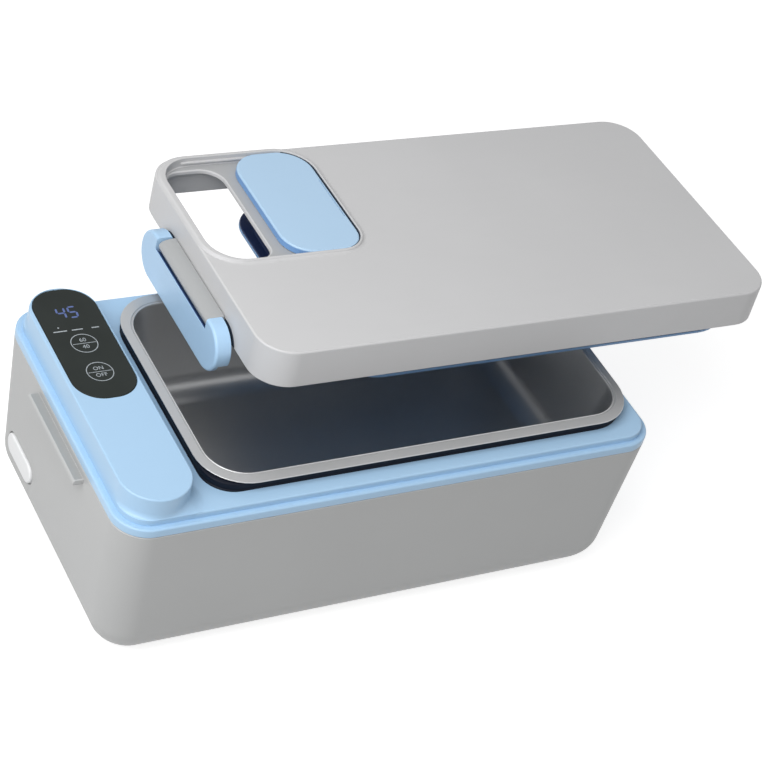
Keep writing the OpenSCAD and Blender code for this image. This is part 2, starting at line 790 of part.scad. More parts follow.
// Cell holder: open tray on the bottom cover
module cell_holder() {
    color("dimgray") difference() {
        translate([0, 0, holder_z + (holder_t + holder_h) / 2])
            cube([cells_l + 2 * holder_t, cells_w + 2 * holder_t, holder_t + holder_h], center = true);
        translate([0, 0, holder_z + holder_t + holder_h / 2 + past / 2])
            cube([cells_l, cells_w, holder_h + past], center = true);
    }
}

module battery_cells() {
    color("steelblue") for (px = [-1, 1], row = [-1, 0, 1])
        translate([px * (cell_l + cell_gap) / 2 - cell_l / 2, row * cell_pitch, cell_z])
            rotate([0, 90, 0]) cylinder(d = cell_d, h = cell_l);
}

module nickel_strips() {
    h = cell_d - 1;
    color("silver") for (x = [-cells_l / 2 + strip_t, -strip_t / 2, cells_l / 2 - 2 * strip_t])
        translate([x, -cells_w / 2 + 2, cell_z - h / 2]) cube([strip_t, cells_w - 4, h]);
}

// Power board with its charger parts
module power_board() {
    color("seagreen") difference() {
        union() {
            translate([power_x, 0, power_z + board_t / 2]) cube([power_l, power_w, board_t], center = true);
            translate([power_x - 11, -8, power_z + board_t - eps]) cube([13, 16, 10]);
            translate([power_x - 6, 24, power_z + board_t - eps]) cylinder(r = 4, h = 12);
        }
        for (px = [-1, 1], py = [-1, 1])
            translate([power_x + px * power_post_x, py * power_post_y, power_z - past])
                cylinder(r = power_screw_r + screw_gap, h = board_t + 2 * past);
    }
}

module power_board_screws() {
    color("silver") for (px = [-1, 1], py = [-1, 1])
        translate([power_x + px * power_post_x, py * power_post_y, power_z + board_t]) {
            cylinder(r = 2.2, h = 1.4);
            translate([0, 0, -board_t - 4]) cylinder(r = power_screw_r, h = board_t + 4);
        }
}

// Charging socket: flanged housing behind the port, with a slot and its tongue
module charging_socket() {
    color("black") translate([socket_x, port_y, port_z]) difference() {
        union() {
            translate([0, -socket_l / 2, -socket_h / 2]) cube([socket_flange_t, socket_l, socket_h]);
            translate([0, -socket_body_l / 2, -socket_body_h / 2])
                cube([socket_body_d, socket_body_l, socket_body_h]);
        }
        difference() {
            translate([6, 0, 0]) rotate([0, -90, 0]) slot_block(8.4, 2.8, 6 + past);
            translate([-past, -3.2, -0.35]) cube([8, 6.4, 0.7]);
        }
        for (py = [-1, 1])
            translate([-past, py * socket_screw_y, 0]) rotate([0, 90, 0])
                cylinder(r = socket_screw_r + screw_gap, h = socket_flange_t + 2 * past);
    }
}

module socket_screws() {
    color("silver") for (py = [-1, 1])
        translate([socket_x + socket_flange_t, port_y + py * socket_screw_y, port_z]) rotate([0, 90, 0]) {
            cylinder(r = 1.8, h = 1);
            translate([0, 0, -socket_flange_t - 3]) cylinder(r = socket_screw_r, h = socket_flange_t + 3);
        }
}

// Port cover: soft flap that turns up about its top edge
module port_cover() {
    color("whitesmoke") translate([pocket_x, port_y, port_z]) rotate([0, -90, 0])
        slot_block(port_l, port_h, port_t);
}

module ribbon_cable() {
    ribbon_w = 12;
    ribbon_t = 0.5;
    color("gray") translate([power_x + power_l / 4, 4 - ribbon_w, power_z + board_t])
        cube([ribbon_t, ribbon_w, control_z - power_z - board_t]);
}

module battery_leads() {
    x0 = power_x + 9;
    x1 = -cells_l / 2 + strip_t;
    z0 = power_z + board_t;
    color("firebrick") for (y = [-14, 14])
        lead([[x0, y, z0], [x0, y, z0 + 2], [x0 + 1, y, z0 + 4], [x0 + 3, y, z0 + 5], [x1 - 2, y, z0 + 5],
              [x1, y, z0 + 5]], lead_r);
}

module heater_leads() {
    x0 = power_x + 5;
    x1 = tray_x - bar_l / 2;
    z0 = power_z + board_t;
    z1 = bar_z + bar_t / 2;
    color("white") for (y = [-bar_y, bar_y])
        lead([[x0, y, z0], [x0, y, z1 - 5], [x0 + 1.5, y, z1 - 1.5], [x0 + 5, y, z1], [x1 - 2, y, z1],
              [x1, y, z1]], lead_r);
}

// Lid -------------------------------------------------------------------------------------------------

// Lid: flat top with a raised lip round the window recess, skirt, clasp barrel, press ribs and end tongue
module lid_shell() {
    inner_top = lid_h - lid_wall;
    color("whitesmoke") on_lid() difference() {
        union() {
            difference() {
                slab(lid_l, lid_w, lid_r, lid_h);
                translate([0, 0, -past])
                    slab(lid_l - 2 * lid_wall, lid_w - 2 * lid_wall, lid_r - lid_wall, inner_top + past);
            }
            // walls of the window recess, and the lip round its edge
            intersection() {
                slab(lid_l, lid_w, lid_r, lid_h + rim_lip_h);
                union() {
                    translate([recess_cx, recess_cy, recess_z - recess_floor])
                        slab(recess_l + 2 * recess_floor, recess_w + 2 * recess_floor,
                             recess_r + recess_floor, recess_floor + recess_depth);
                    translate([recess_cx, recess_cy, recess_z])
                        slab(recess_l + 2 * rim_lip_w, recess_w + 2 * rim_lip_w, recess_r + rim_lip_w,
                             recess_depth + rim_lip_h);
                }
            }
            // flat-topped barrel for the clasp's pin, on a web from the skirt
            difference() {
                translate([pivot_x, clasp_y - barrel_l / 2, pivot_z]) rotate([-90, 0, 0])
                    cylinder(r = barrel_r, h = barrel_l);
                translate([pivot_x - barrel_l, clasp_y - barrel_l, pivot_z + barrel_top])
                    cube(2 * barrel_l);
            }
            translate([pivot_x, clasp_y - barrel_l / 2, pivot_z - barrel_r])
                cube([pivot_out + lid_wall / 2, barrel_l, barrel_r + barrel_top]);
            // ribs that press the inner lid down
            for (py = [-1, 1])
                translate([recess_x0 + recess_l + press_rib_gap, py * press_rib_y - press_rib_t / 2,
                           press_rib_z])
                    cube([press_rib_l, press_rib_t, inner_top - press_rib_z + eps]);
            // tongue that hooks the right end to the deck
            translate([tongue_x, -tongue_l / 2, -tongue_drop])
                cube([tongue_t + eps, tongue_l, tongue_drop + 10]);
            translate([tongue_x, -tongue_l / 2, -tongue_drop])
                cube([tongue_t + barb_out, tongue_l, barb_h]);
        }
        translate([recess_cx, recess_cy, recess_z])
            slab(recess_l, recess_w, recess_r, recess_depth + rim_lip_h + past);
        translate([glass_x, glass_y, recess_z - recess_floor - past])
            slab(window_w, window_l, window_r, recess_floor + 2 * past);
        translate([pivot_x, -barrel_l, pivot_z]) rotate([-90, 0, 0])
            cylinder(r = pin_r + pin_gap, h = 2 * barrel_l);
    }
}

// Guide rails on the front and back walls of the recess
module guide_rails() {
    color("whitesmoke") on_lid() for (py = [-1, 1])
        translate([recess_cx - rail_l / 2,
                   recess_cy + py * (recess_w / 2 - rail_out / 2) - rail_out / 2, rail_z])
            cube([rail_l, rail_out, rail_t]);
}

// Sliding cover, grooved for the rails
module window_cover() {
    groove = rail_out + slider_gap / 2;
    color("cornflowerblue") on_lid() translate([slider_x, recess_cy, slider_z]) difference() {
        slab(slider_l, slider_w, recess_r - slider_gap - 1, slider_t);
        for (py = [-1, 1])
            translate([-slider_l, py * (slider_w / 2 - groove / 2 + past / 2) - groove / 2 - past / 2,
                       rail_z - slider_z - seat_gap / 2])
                cube([2 * slider_l, groove + past, rail_t + seat_gap]);
    }
}

// Clasp: plate with two knuckles and a hook lip
module clasp() {
    end_gap = 0.5;
    deep = 12;
    slot_l = barrel_l + 2 * end_gap;
    slot_y = clasp_y - slot_l / 2;
    hook_z = catch_z - ledge_z - seat_gap - hook_h;
    color("cornflowerblue") on_lid() difference() {
        intersection() {
            // the outline seen from the end of the lid
            translate([clasp_face + deep, clasp_y, clasp_h / 2 - clasp_drop]) rotate([0, -90, 0])
                slot_block(clasp_l, clasp_h, deep + eps);
            union() {
                translate([clasp_face, -clasp_l, -clasp_drop]) cube([clasp_t, 2 * clasp_l, clasp_h]);
                translate([pivot_x, -clasp_l, pivot_z]) rotate([-90, 0, 0])
                    cylinder(r = knuckle_r, h = 2 * clasp_l);
                translate([clasp_face, -clasp_l, -arm_drop])
                    cube([arm_t, 2 * clasp_l, pivot_z + arm_drop]);
                translate([clasp_face + clasp_t - eps, clasp_y - catch_l / 2, hook_z])
                    cube([hook_reach, catch_l, hook_h]);
            }
        }
        // window that the barrel turns in, with the plate's edge hollowed round it
        translate([clasp_face - past, slot_y, clasp_edge])
            cube([2 * deep, slot_l, clasp_h]);
        translate([pivot_x, slot_y, pivot_z]) rotate([-90, 0, 0])
            cylinder(r = barrel_r + clasp_hollow, h = slot_l);
        translate([clasp_face + clasp_t, slot_y, -arm_drop - past])
            cube([deep, slot_l, arm_drop + past - web_drop]);
        // blind holes for the pin's ends
        translate([pivot_x, clasp_y - pin_l / 2 - seat_gap, pivot_z]) rotate([-90, 0, 0])
            cylinder(r = pin_r + pin_gap, h = pin_l + 2 * seat_gap);
    }
}

module clasp_pin() {
    color("silver") on_lid() translate([pivot_x, clasp_y - pin_l / 2, pivot_z]) rotate([-90, 0, 0])
        cylinder(r = pin_r, h = pin_l);
}

// Inner lid: plate that closes the tray, a little wider than its rim
module inner_lid() {
    color("lightsteelblue") on_lid() translate([tray_x, 0, -inner_hang]) difference() {
        union() {
            slab(tray_l + 2 * inner_margin, tray_w + 2 * inner_margin, tray_r + inner_margin, flange_t);
            slab(tray_l - 2 * inner_inset, tray_w - 2 * inner_inset, tray_r - inner_inset, inner_h);
        }
        translate([0, 0, -past]) difference() {
            slab(tray_l - 2 * seal_inset, tray_w - 2 * seal_inset, tray_r - seal_inset, gasket_t + past);
            slab(tray_l - 2 * (seal_inset + gasket_w), tray_w - 2 * (seal_inset + gasket_w),
                 tray_r - seal_inset - gasket_w, gasket_t + past);
        }
    }
}

module inner_lid_gasket() {
    gap = seat_gap / 2;
    outer = seal_inset + gap;
    inner = seal_inset + gasket_w - gap;
    color("midnightblue") on_lid() translate([tray_x, 0, -inner_hang]) difference() {
        slab(tray_l - 2 * outer, tray_w - 2 * outer, tray_r - outer, gasket_t);
        translate([0, 0, -past])
            slab(tray_l - 2 * inner, tray_w - 2 * inner, tray_r - inner, gasket_t + 2 * past);
    }
}

outer_case();
bottom_cover();
foot_ring();
cover_screws();
top_deck();
touch_glass();
display_module();
touch_springs();
control_board();
control_board_screws();
tray_seal();
food_tray();
well_liner();
liner_screws();
heating_plate();
heater_bars();
thermal_cutoff();
temperature_sensor();
insulation_pad();
cell_holder();
battery_cells();
nickel_strips();
power_board();
power_board_screws();
charging_socket();
socket_screws();
port_cover();
ribbon_cable();
battery_leads();
heater_leads();
lid_shell();
guide_rails();
window_cover();
clasp();
clasp_pin();
inner_lid();
inner_lid_gasket();
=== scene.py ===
import math

import bmesh
import bpy
from mathutils import Euler, Matrix, Vector


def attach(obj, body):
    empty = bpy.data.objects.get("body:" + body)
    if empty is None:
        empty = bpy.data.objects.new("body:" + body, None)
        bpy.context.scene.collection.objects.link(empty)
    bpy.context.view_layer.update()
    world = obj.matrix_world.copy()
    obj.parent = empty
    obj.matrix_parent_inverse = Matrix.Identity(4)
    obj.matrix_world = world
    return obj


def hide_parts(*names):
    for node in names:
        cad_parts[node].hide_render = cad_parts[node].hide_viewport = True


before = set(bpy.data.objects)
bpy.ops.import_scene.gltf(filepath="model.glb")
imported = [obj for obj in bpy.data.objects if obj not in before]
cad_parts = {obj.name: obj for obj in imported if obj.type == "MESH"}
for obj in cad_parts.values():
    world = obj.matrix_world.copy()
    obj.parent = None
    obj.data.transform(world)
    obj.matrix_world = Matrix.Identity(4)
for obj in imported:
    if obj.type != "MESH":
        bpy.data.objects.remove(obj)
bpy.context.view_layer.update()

mm = 0.001

# The camera: a long lens a little above and to the left of the box, looking down along its front.
link = bpy.context.scene.collection.objects.link
camera = bpy.data.objects.new("camera", bpy.data.cameras.new("camera"))
link(camera)
bpy.context.scene.camera = camera
camera.data.sensor_width = 36
camera.data.lens = 109.1208
look_right = Vector((0.87229069, -0.43357265, 0.22610554))
look_down = Vector((-0.13525853, -0.65829361, -0.74050972))
look_ahead = Vector((0.46990860, 0.61535703, -0.63286779))
camera_turn = Matrix((look_right, -look_down, -look_ahead)).transposed().to_4x4()
camera.matrix_world = Matrix.Translation(Vector((-465.508, -642.800, 736.656)) * mm) @ camera_turn


# Outer case ------------------------------------------------------------------------------------------
# The outer case is one injection moulding in warm grey ABS with a fine spark-eroded texture. Its walls
# lean in towards the floor and run into it in a wide round, and the floor is open for the battery cover.
case_length, case_width, case_corner = 260, 139.6, 15.2
rim_level, floor_level, wall, rim_break = 79.8, 0.8, 2.2, 0.35
end_lean, side_lean, floor_round = 3.66, 2.53, 18
cover_level = floor_level + wall
cover_room, hatch, hatch_frame = (184.3, 86.3, 8), (166, 68, 6), (192, 94, 8)


def outline(length, width, corner, x=0.0, y=0.0, steps=10, inset=0.0, least=0.01):
    """Points round a rectangle with round corners, drawn in by an inset. The corner is one radius, or four
    in the order back right, back left, front left, front right, and none gets smaller than the least."""
    corners = corner if isinstance(corner, tuple) else (corner,) * 4
    half_x, half_y = length / 2 - inset, width / 2 - inset
    points = []
    for turn, (sx, sy) in enumerate(((1, 1), (-1, 1), (-1, -1), (1, -1))):
        radius = max(least, min(corners[turn] - inset, half_x, half_y))
        for step in range(steps + 1):
            angle = math.radians(90 * (turn + step / steps))
            points.append((x + sx * (half_x - radius) + radius * math.cos(angle),
                           y + sy * (half_y - radius) + radius * math.sin(angle)))
    return points


def level(points, z):
    """A plan outline lifted to a height."""
    return [(x, y, z) for x, y in points]


def plan(*size, **more):
    """Gives a function that turns pairs of an inset and a height into rings of one plan outline. An inset
    below zero goes outward."""
    def rings(*pairs):
        return [level(outline(*size, inset=inset, **more), z) for inset, z in pairs]
    return rings


def tub_rings(length, width, corner, height, lean_x, lean_y, floor_radius, z, x=0.0):
    """Rings of a tub's wall from its rim down into the flat of its floor."""
    rings = [level(outline(length, width, corner, x), z + height)]
    for turn in range(0, 91, 9):
        drop = floor_radius * (1 - math.sin(math.radians(turn)))
        inward = floor_radius * (1 - math.cos(math.radians(turn)))
        share = 1 - drop / height
        in_x, in_y = lean_x * share + inward, lean_y * share + inward
        rings.append(level(outline(length - 2 * in_x, width - 2 * in_y,
                                   corner * (1 - 0.6 * inward / floor_radius), x), z + drop))
    return rings


def new_piece(name):
    """An empty mesh object in the scene."""
    piece = bpy.data.objects.new(name, bpy.data.meshes.new(name))
    link(piece)
    return piece


def finish_mesh(piece, shape):
    """Writes a shape into a piece, with soft shading inside each face and crisp edges between them."""
    bmesh.ops.remove_doubles(shape, verts=shape.verts, dist=0.004 * mm)
    bmesh.ops.dissolve_degenerate(shape, edges=shape.edges, dist=0.004 * mm)
    bmesh.ops.recalc_face_normals(shape, faces=shape.faces)
    crisp = math.radians(38)
    for face in shape.faces:
        face.smooth = True
    for edge in shape.edges:
        edge.smooth = len(edge.link_faces) != 2 or edge.calc_face_angle(0) < crisp
    shape.to_mesh(piece.data)
    shape.free()
    if "weighted" not in piece.modifiers:
        piece.modifiers.new("weighted", "WEIGHTED_NORMAL").keep_sharp = True


def loft(name, rings, closed=False, place=None):
    """Skins a row of rings with the same number of points. A row that isn't closed gets a cap at each end."""
    piece, shape = new_piece(name), bmesh.new()
    rows = [[shape.verts.new(Vector(p) * mm) for p in ring] for ring in rings]
    count = len(rows[0])
    for lower, upper in list(zip(rows, rows[1:])) + ([(rows[-1], rows[0])] if closed else []):
        for i in range(count):
            shape.faces.new((lower[i], lower[(i + 1) % count], upper[(i + 1) % count], upper[i]))
    if not closed:
        shape.faces.new(rows[0][::-1])
        shape.faces.new(rows[-1])
    if place:
        bmesh.ops.transform(shape, matrix=place, verts=shape.verts)
    finish_mesh(piece, shape)
    return piece


def extrude_y(name, profile, y0, y1, place=None):
    """A profile in X and Z drawn out along Y."""
    return loft(name, [[(x, y, z) for x, z in profile] for y in (y0, y1)], place=place)


def cut(piece, *tools):
    """Takes tool shapes out of a piece and deletes the tools."""
    for tool in tools:
        boolean = piece.modifiers.new("cut", "BOOLEAN")
        boolean.operation, boolean.solver, boolean.object = "DIFFERENCE", "EXACT", tool
        if "weighted" in piece.modifiers:
            piece.modifiers.remove(piece.modifiers["weighted"])
        shape = bmesh.new()
        shape.from_mesh(piece.evaluated_get(bpy.context.evaluated_depsgraph_get()).to_mesh())
        piece.modifiers.clear()
        finish_mesh(piece, shape)
        bpy.data.objects.remove(tool)


def soften(piece, radius, steps=2, angle=30):
    """Rounds a piece's crisp edges by a small radius."""
    shape = bmesh.new()
    shape.from_mesh(piece.data)
    bmesh.ops.remove_doubles(shape, verts=shape.verts, dist=0.004 * mm)
    bmesh.ops.dissolve_limit(shape, angle_limit=math.radians(0.5), verts=shape.verts, edges=shape.edges)
    crisp = [e for e in shape.edges if len(e.link_faces) == 2 and e.calc_face_angle(0) > math.radians(angle)]
    bmesh.ops.bevel(shape, geom=crisp, offset=radius * mm, segments=steps, profile=0.5, affect="EDGES",
                    clamp_overlap=True)
    finish_mesh(piece, shape)


def feed(node, sockets):
    """Links a wire to each socket, or sets its plain value."""
    for key, value in dict(sockets).items():
        if isinstance(value, Wire):
            value.tree.links.new(value.socket, node.inputs[key])
        else:
            node.inputs[key].default_value = value


class Wire:
    """One socket of a material's nodes. Python's operators on it add Math nodes beside it."""

    def __init__(self, tree, socket=None):
        self.tree, self.socket = tree, socket

    def node(self, kind, sockets=(), output=0, **settings):
        """Adds any node: its settings first, then the values or links of its sockets."""
        made = self.tree.nodes.new("ShaderNode" + kind)
        for name, value in settings.items():
            setattr(made, name, value)
        feed(made, sockets)
        return Wire(self.tree, made.outputs[output])

    def maths(self, operation, *values):
        return self.node("Math", enumerate(values), operation=operation)

    def __add__(self, other):
        return self.maths("ADD", self, other)

    def __rsub__(self, other):
        return self.maths("SUBTRACT", other, self)

    def __mul__(self, other):
        return self.maths("MULTIPLY", self, other)

    def step(self, low, high):
        """0 below low, 1 above high, and a soft step between."""
        return self.node("MapRange", {0: self, 1: low, 2: high}, interpolation_type="SMOOTHSTEP")

    def mix(self, first, second):
        """The first colour where this mask is 0 and the second where it is 1."""
        return self.node("Mix", {0: self, 6: first, 7: second}, 2, data_type="RGBA")


def tint(*values):
    """A colour given in display values from 0 to 255."""
    shares = [value / 255 for value in values]
    return tuple(s / 12.92 if s <= 0.04045 else ((s + 0.055) / 1.055) ** 2.4 for s in shares) + (1.0,)


def shade(colour, factor):
    """A colour made darker or lighter by a factor."""
    return tuple(min(1.0, c * factor) for c in colour[:3]) + (1.0,)


def new_material(name):
    """A material, the shader of its surface, and a wire to start its nodes from."""
    material = bpy.data.materials.new(name)
    material.use_nodes = True
    return material, material.node_tree.nodes["Principled BSDF"], Wire(material.node_tree)


def noise_at(start, scale, detail=2.0, stretch=(1, 1, 1), rough=0.5):
    """Noise fixed to the object, in cells per metre, stretched along an axis where asked."""
    place = start.node("TexCoord", output="Object")
    if stretch != (1, 1, 1):
        place = start.node("Mapping", {"Vector": place, "Scale": stretch})
    return start.node("TexNoise", {"Vector": place, "Scale": scale, "Detail": detail, "Roughness": rough})


def bumps(height, strength, distance):
    """A surface's normals, tilted by a height field."""
    return height.node("Bump", {"Strength": strength, "Distance": distance, "Height": height})


def moulded(name, colour, rough=0.42, grain=0.10, grain_scale=2600, drift=0.015, specular=0.4):
    """Injection-moulded plastic: an eroded-tool grain, a slow drift in the pigment, faint handling marks."""
    material, shader, start = new_material(name)
    grains = noise_at(start, grain_scale, 2)
    marks = noise_at(start, 130, 4, (3, 1, 1), 0.65).step(0.56, 0.74)
    pigment = (noise_at(start, 14, 3) * 0.85 + noise_at(start, 55, 2, (1, 4, 1)) * 0.15).step(0.3, 0.7)
    feed(shader, {"Base Color": pigment.mix(shade(colour, 1 - drift), shade(colour, 1 + drift)),
                  "Roughness": grains * 0.10 + marks * -0.04 + (rough - 0.05),
                  "Specular IOR Level": specular, "Normal": bumps(grains, grain, 0.00004)})
    return material


def paint(piece, material):
    """Gives a piece its one material."""
    piece.data.materials.clear()
    piece.data.materials.append(material)


def fit(piece, material, slot, body, *nodes):
    """Paints a piece, hangs it on its body, and hides the parts of the model that it stands for."""
    paint(piece, material)
    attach(piece, body)
    if nodes:
        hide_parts(*nodes)


# The case's grey is set darker than the lid's, though both are the same ABS: the difference is painted shade.
case_plastic = moulded("case_plastic", tint(182, 183, 183), 0.46, 0.12)
case_plan = plan(case_length, case_width, case_corner, least=1)
outside = tub_rings(case_length, case_width, case_corner, rim_level - floor_level, end_lean, side_lean,
                    floor_round, floor_level)
inside = tub_rings(case_length - 2 * wall, case_width - 2 * wall, case_corner - wall,
                   rim_level - cover_level, end_lean, side_lean, floor_round - wall, cover_level)
opening = [level(outline(*size), z) for size, z in (
    (cover_room, floor_level), (cover_room, cover_level), (hatch, cover_level), (hatch, cover_level + wall),
    (hatch_frame, cover_level + wall), (hatch_frame, cover_level + 0.02))]
rim_edge = case_plan((rim_break, rim_level), (0, rim_level - rim_break))
outer_case = loft("outer_case_shell", rim_edge + outside[1:] + opening + inside[::-1], closed=True)

# The charging port's shallow pocket and inlet are moulded into the left wall near the back.
port_y, port_z = 36.5, 27.2
port_length, port_height, port_thick, port_round = 28, 10.4, 2.2, 0.9
pocket_x = -case_length / 2 + end_lean * (1 - port_z / rim_level) + 1
pocket_gap, inlet_length, inlet_height, socket_x = 0.8, 18, 8.6, pocket_x + 5.2


def upright(length, height, y, z, steps=8):
    """Like a plan, for a slot outline that stands across X and is long along Y. Its function turns pairs of
    an inset and a place in X into rings."""
    def rings(*pairs):
        plans = [(x, outline(height, length, height / 2, steps=steps, inset=inset)) for inset, x in pairs]
        return [[(x, y + v, z + u) for u, v in points] for x, points in plans]
    return rings


port_plan = upright(port_length, port_height, port_y, port_z)
inlet_plan = upright(inlet_length, inlet_height, port_y, port_z)
pocket = loft("pocket", port_plan((-pocket_gap, pocket_x), (-pocket_gap, pocket_x - 6)))
inlet = loft("inlet", inlet_plan((0, socket_x + 1), (0, pocket_x - 1)))
cut(outer_case, pocket, inlet)
fit(outer_case, case_plastic, "case", "base", "outer_case")

# The catch rib stands out of the left wall, moulded with it. The clasp's hook snaps under its flat lower
# side, and its upper side is eased so that the hook rides over it.
catch_out, catch_low, catch_tall, catch_length, clasp_y = 4.4, 73.3, 2.8, 54.3, -1
catch_x, catch_top = -case_length / 2, catch_low + catch_tall
catch_face = catch_x - catch_out
catch_profile = [(catch_x + 1.5, catch_low), (catch_x + 1.5, catch_top), (catch_face + 0.7, catch_top),
                 (catch_face, catch_low + 2.1), (catch_face, catch_low)]
catch_rib = extrude_y("catch_rib", catch_profile, clasp_y - catch_length / 2, clasp_y + catch_length / 2)
soften(catch_rib, 0.45, 3, 20)
fit(catch_rib, case_plastic, "case", "base")
# A darker grey strip on the rib's top is painted shade, standing in for the shade on that face.
rib_shade_plan = plan(catch_out - 0.9, catch_length - 1.2, 0.4, catch_x - catch_out / 2 + 0.35, clasp_y)
rib_shade_strip = loft("catch_rib_shade_strip", rib_shade_plan((0, catch_top - 0.4), (0, catch_top + 0.03)))
fit(rib_shade_strip, moulded("rib_shade_grey", tint(158, 160, 160), 0.6, 0.14), "case", "base")

# Port cover ------------------------------------------------------------------------------------------
# The port cover is a soft white elastomer flap with a crowned face. It sits in the shallow pocket, hung by
# its moulded top edge, and the socket behind it is black glass-filled nylon.
port_white = moulded("port_elastomer", tint(236, 237, 238), 0.5, 0.08, 3200, 0.015, 0.35)
port_face = pocket_x - port_thick
flap_edge = [(port_round * (1 - math.cos(angle)), port_face + port_round - 0.8 * math.sin(angle))
             for angle in map(math.radians, (30, 60, 90))]
port_flap = loft("port_flap", port_plan((0.3, pocket_x), (0, pocket_x - 0.3), (0, port_face + port_round),
                                        *flap_edge, (3, port_face)))
fit(port_flap, port_white, "port", "port_cover", "port_cover")


def turned_steel(name, colour=(0.62, 0.62, 0.63, 1.0), rough=0.28, line_scale=900, lines=(1, 1, 30)):
    """Plated or turned metal, with fine machining lines and a slight stain in its gloss."""
    material, shader, start = new_material(name)
    fine = noise_at(start, line_scale, 3, lines)
    stain = noise_at(start, 60, 3).step(0.35, 0.7)
    feed(shader, {"Base Color": (fine * 0.6 + stain * 0.4).mix(shade(colour, 0.86), colour), "Metallic": 1.0,
                  "Roughness": fine * 0.12 + stain * 0.06 + (rough - 0.08),
                  "Normal": bumps(fine, 0.12, 0.00002)})
    return material


def coat(material, *nodes):
    """Gives parts of the model that keep their own meshes a material."""
    for node in nodes:
        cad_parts[node].data.materials[0] = material


screw_steel = turned_steel("screw_steel")
coat(moulded("socket_nylon", tint(26, 27, 29), 0.4, 0.15, 3000, 0.1), "charging_socket")
coat(screw_steel, "socket_screws")

# Deck ------------------------------------------------------------------------------------------------
# The deck is one moulding in pale blue ABS with a low gloss. Its coloured band sits on the case's rim, a
# ledge above the band takes the lid's skirt, and the raised plate inside the ledge holds the tray's well.
band_height, ledge_inset, deck_rise = 4.26, 2.95, 2.84
ledge_level = rim_level + band_height
deck_level = ledge_level + deck_rise
deck_length, deck_width = case_length - 2 * ledge_inset, case_width - 2 * ledge_inset
deck_corner = case_corner - ledge_inset
skirt_low, plate_low, skirt_in, skirt_out = 76.8, 84.5, 4.7, 2.7
well_length, well_width, well_corner, tray_x = 205.3, 112.6, 18, 17.85
deck_plastic = moulded("deck_plastic", tint(168, 202, 231), 0.34, 0.07, 2600, 0.012, 0.45)
well_plan = plan(well_length, well_width, well_corner, tray_x)


def round_over(inset, z, radius, steps=4, start=0):
    """Pairs of inset and height over a convex edge that starts on a wall and ends on a flat top."""
    angles = [math.radians(start + (90 - start) * step / steps) for step in range(steps + 1)]
    return [(inset + radius * (1 - math.cos(a)), z - radius * (1 - math.sin(a))) for a in angles]


deck_rings = case_plan((skirt_in, skirt_low), (skirt_out, skirt_low), (skirt_out, rim_level + 0.1),
                       (0.4, rim_level + 0.1), (0.1, rim_level + 0.3), (0, rim_level + 0.6),
                       *round_over(0, ledge_level, 0.8), (ledge_inset - 0.9, ledge_level),
                       (ledge_inset - 0.5, ledge_level - 0.2), (ledge_inset, ledge_level - 0.2),
                       *round_over(ledge_inset, deck_level, 0.8))
deck_rings += well_plan((-0.6, deck_level), (-0.18, deck_level - 0.18), (0, deck_level - 0.6), (0, plate_low))
top_deck = loft("top_deck_moulding", deck_rings + case_plan((skirt_in, plate_low)), closed=True)
fit(top_deck, deck_plastic, "deck", "base", "top_deck")

# The control ridge is part of the same moulding: a long round-ended hill at the deck's left end that runs
# out to the deck in a soft flare, with a shallow pocket in its top for the touch glass.
ridge_width, ridge_length, ridge_x, ridge_y = 31.8, deck_width - 0.35, -111.15, 0.175
ridge_level = deck_level + 10.3
ridge_plan = plan(ridge_width, ridge_length, ridge_width / 2, ridge_x, ridge_y, steps=14)
glass_length, glass_width, glass_corner, glass_thick = 70.1, 28.7, 12.5, 1.2
glass_x, glass_y = ridge_x + 0.45, deck_width / 2 - 1.35 - glass_length / 2
glass_low = ridge_level - glass_thick
glass_plan = plan(glass_width, glass_length, glass_corner, glass_x, glass_y, steps=14)


def room_on_deck(x, y):
    """How far a point lies inside the deck plate's edge."""
    qx = abs(x) - deck_length / 2 - 0.04 + deck_corner
    qy = abs(y) - deck_width / 2 - 0.04 + deck_corner
    outside_by = math.hypot(max(qx, 0), max(qy, 0)) + min(max(qx, qy), 0) - deck_corner
    return max(0.0, -outside_by)


def flare_ring(angle, foot=False):
    """The ridge's foot at one angle of its flare. The flare is widest at the front right. At the left and the
    front it only reaches the deck plate's edge, and the wall runs flush down to the ledge from there."""
    ring = []
    for (x, y, _), (u, v, _) in zip(*ridge_plan((0, 0), (-1, 0))):
        front_right = max(0.0, ((u - x) - (v - y)) / math.sqrt(2) - 0.72) / 0.28
        tall = 2.6 + 0.8 * front_right
        widest = reach = 2.8 + 4.0 * front_right
        while reach > 0.03 and room_on_deck(x + (u - x) * reach, y + (v - y) * reach) < 0.01:
            reach -= 0.03
        out, z = reach * (1 - math.cos(angle)), deck_level + tall * (1 - math.sin(angle))
        if foot:
            out, z = (reach * 0.9, deck_level - 0.3) if reach == widest else (reach, ledge_level - 0.3)
        ring.append((x + (u - x) * out, y + (v - y) * out, z))
    return ring


ridge_rings = glass_plan((-0.2, glass_low - 0.05), (-0.2, ridge_level - 0.15), (-0.3, ridge_level))
ridge_rings += ridge_plan(*round_over(0, ridge_level, 0.75)[::-1])
ridge_rings += [flare_ring(math.radians(turn)) for turn in range(0, 91, 15)] + [flare_ring(0, True)]
control_ridge = loft("control_ridge", ridge_rings)
fit(control_ridge, deck_plastic, "deck", "base")

# Touch glass -----------------------------------------------------------------------------------------
# The touch glass is a dark smoked pane with ground edges, glued into the ridge's pocket. A two-digit display
# glows through it, and its marks are printed in pale grey.
pane_edge = round_over(0, ridge_level + 0.05, 0.4, 3)
touch_glass = loft("touch_pane", glass_plan((0.3, glass_low), (0, glass_low + 0.3), *pane_edge))
smoked_glass, shader, start = new_material("smoked_glass")
haze = noise_at(start, 35, 4).step(0.3, 0.75)
smudge = noise_at(start, 210, 3, (1, 2, 1)).step(0.55, 0.8)
feed(shader, {"Base Color": haze.mix(tint(37, 42, 40), tint(43, 48, 46)), "Roughness": smudge * 0.08 + 0.18,
              "Specular IOR Level": 0.12})
fit(touch_glass, smoked_glass, "panel", "base", "touch_glass")

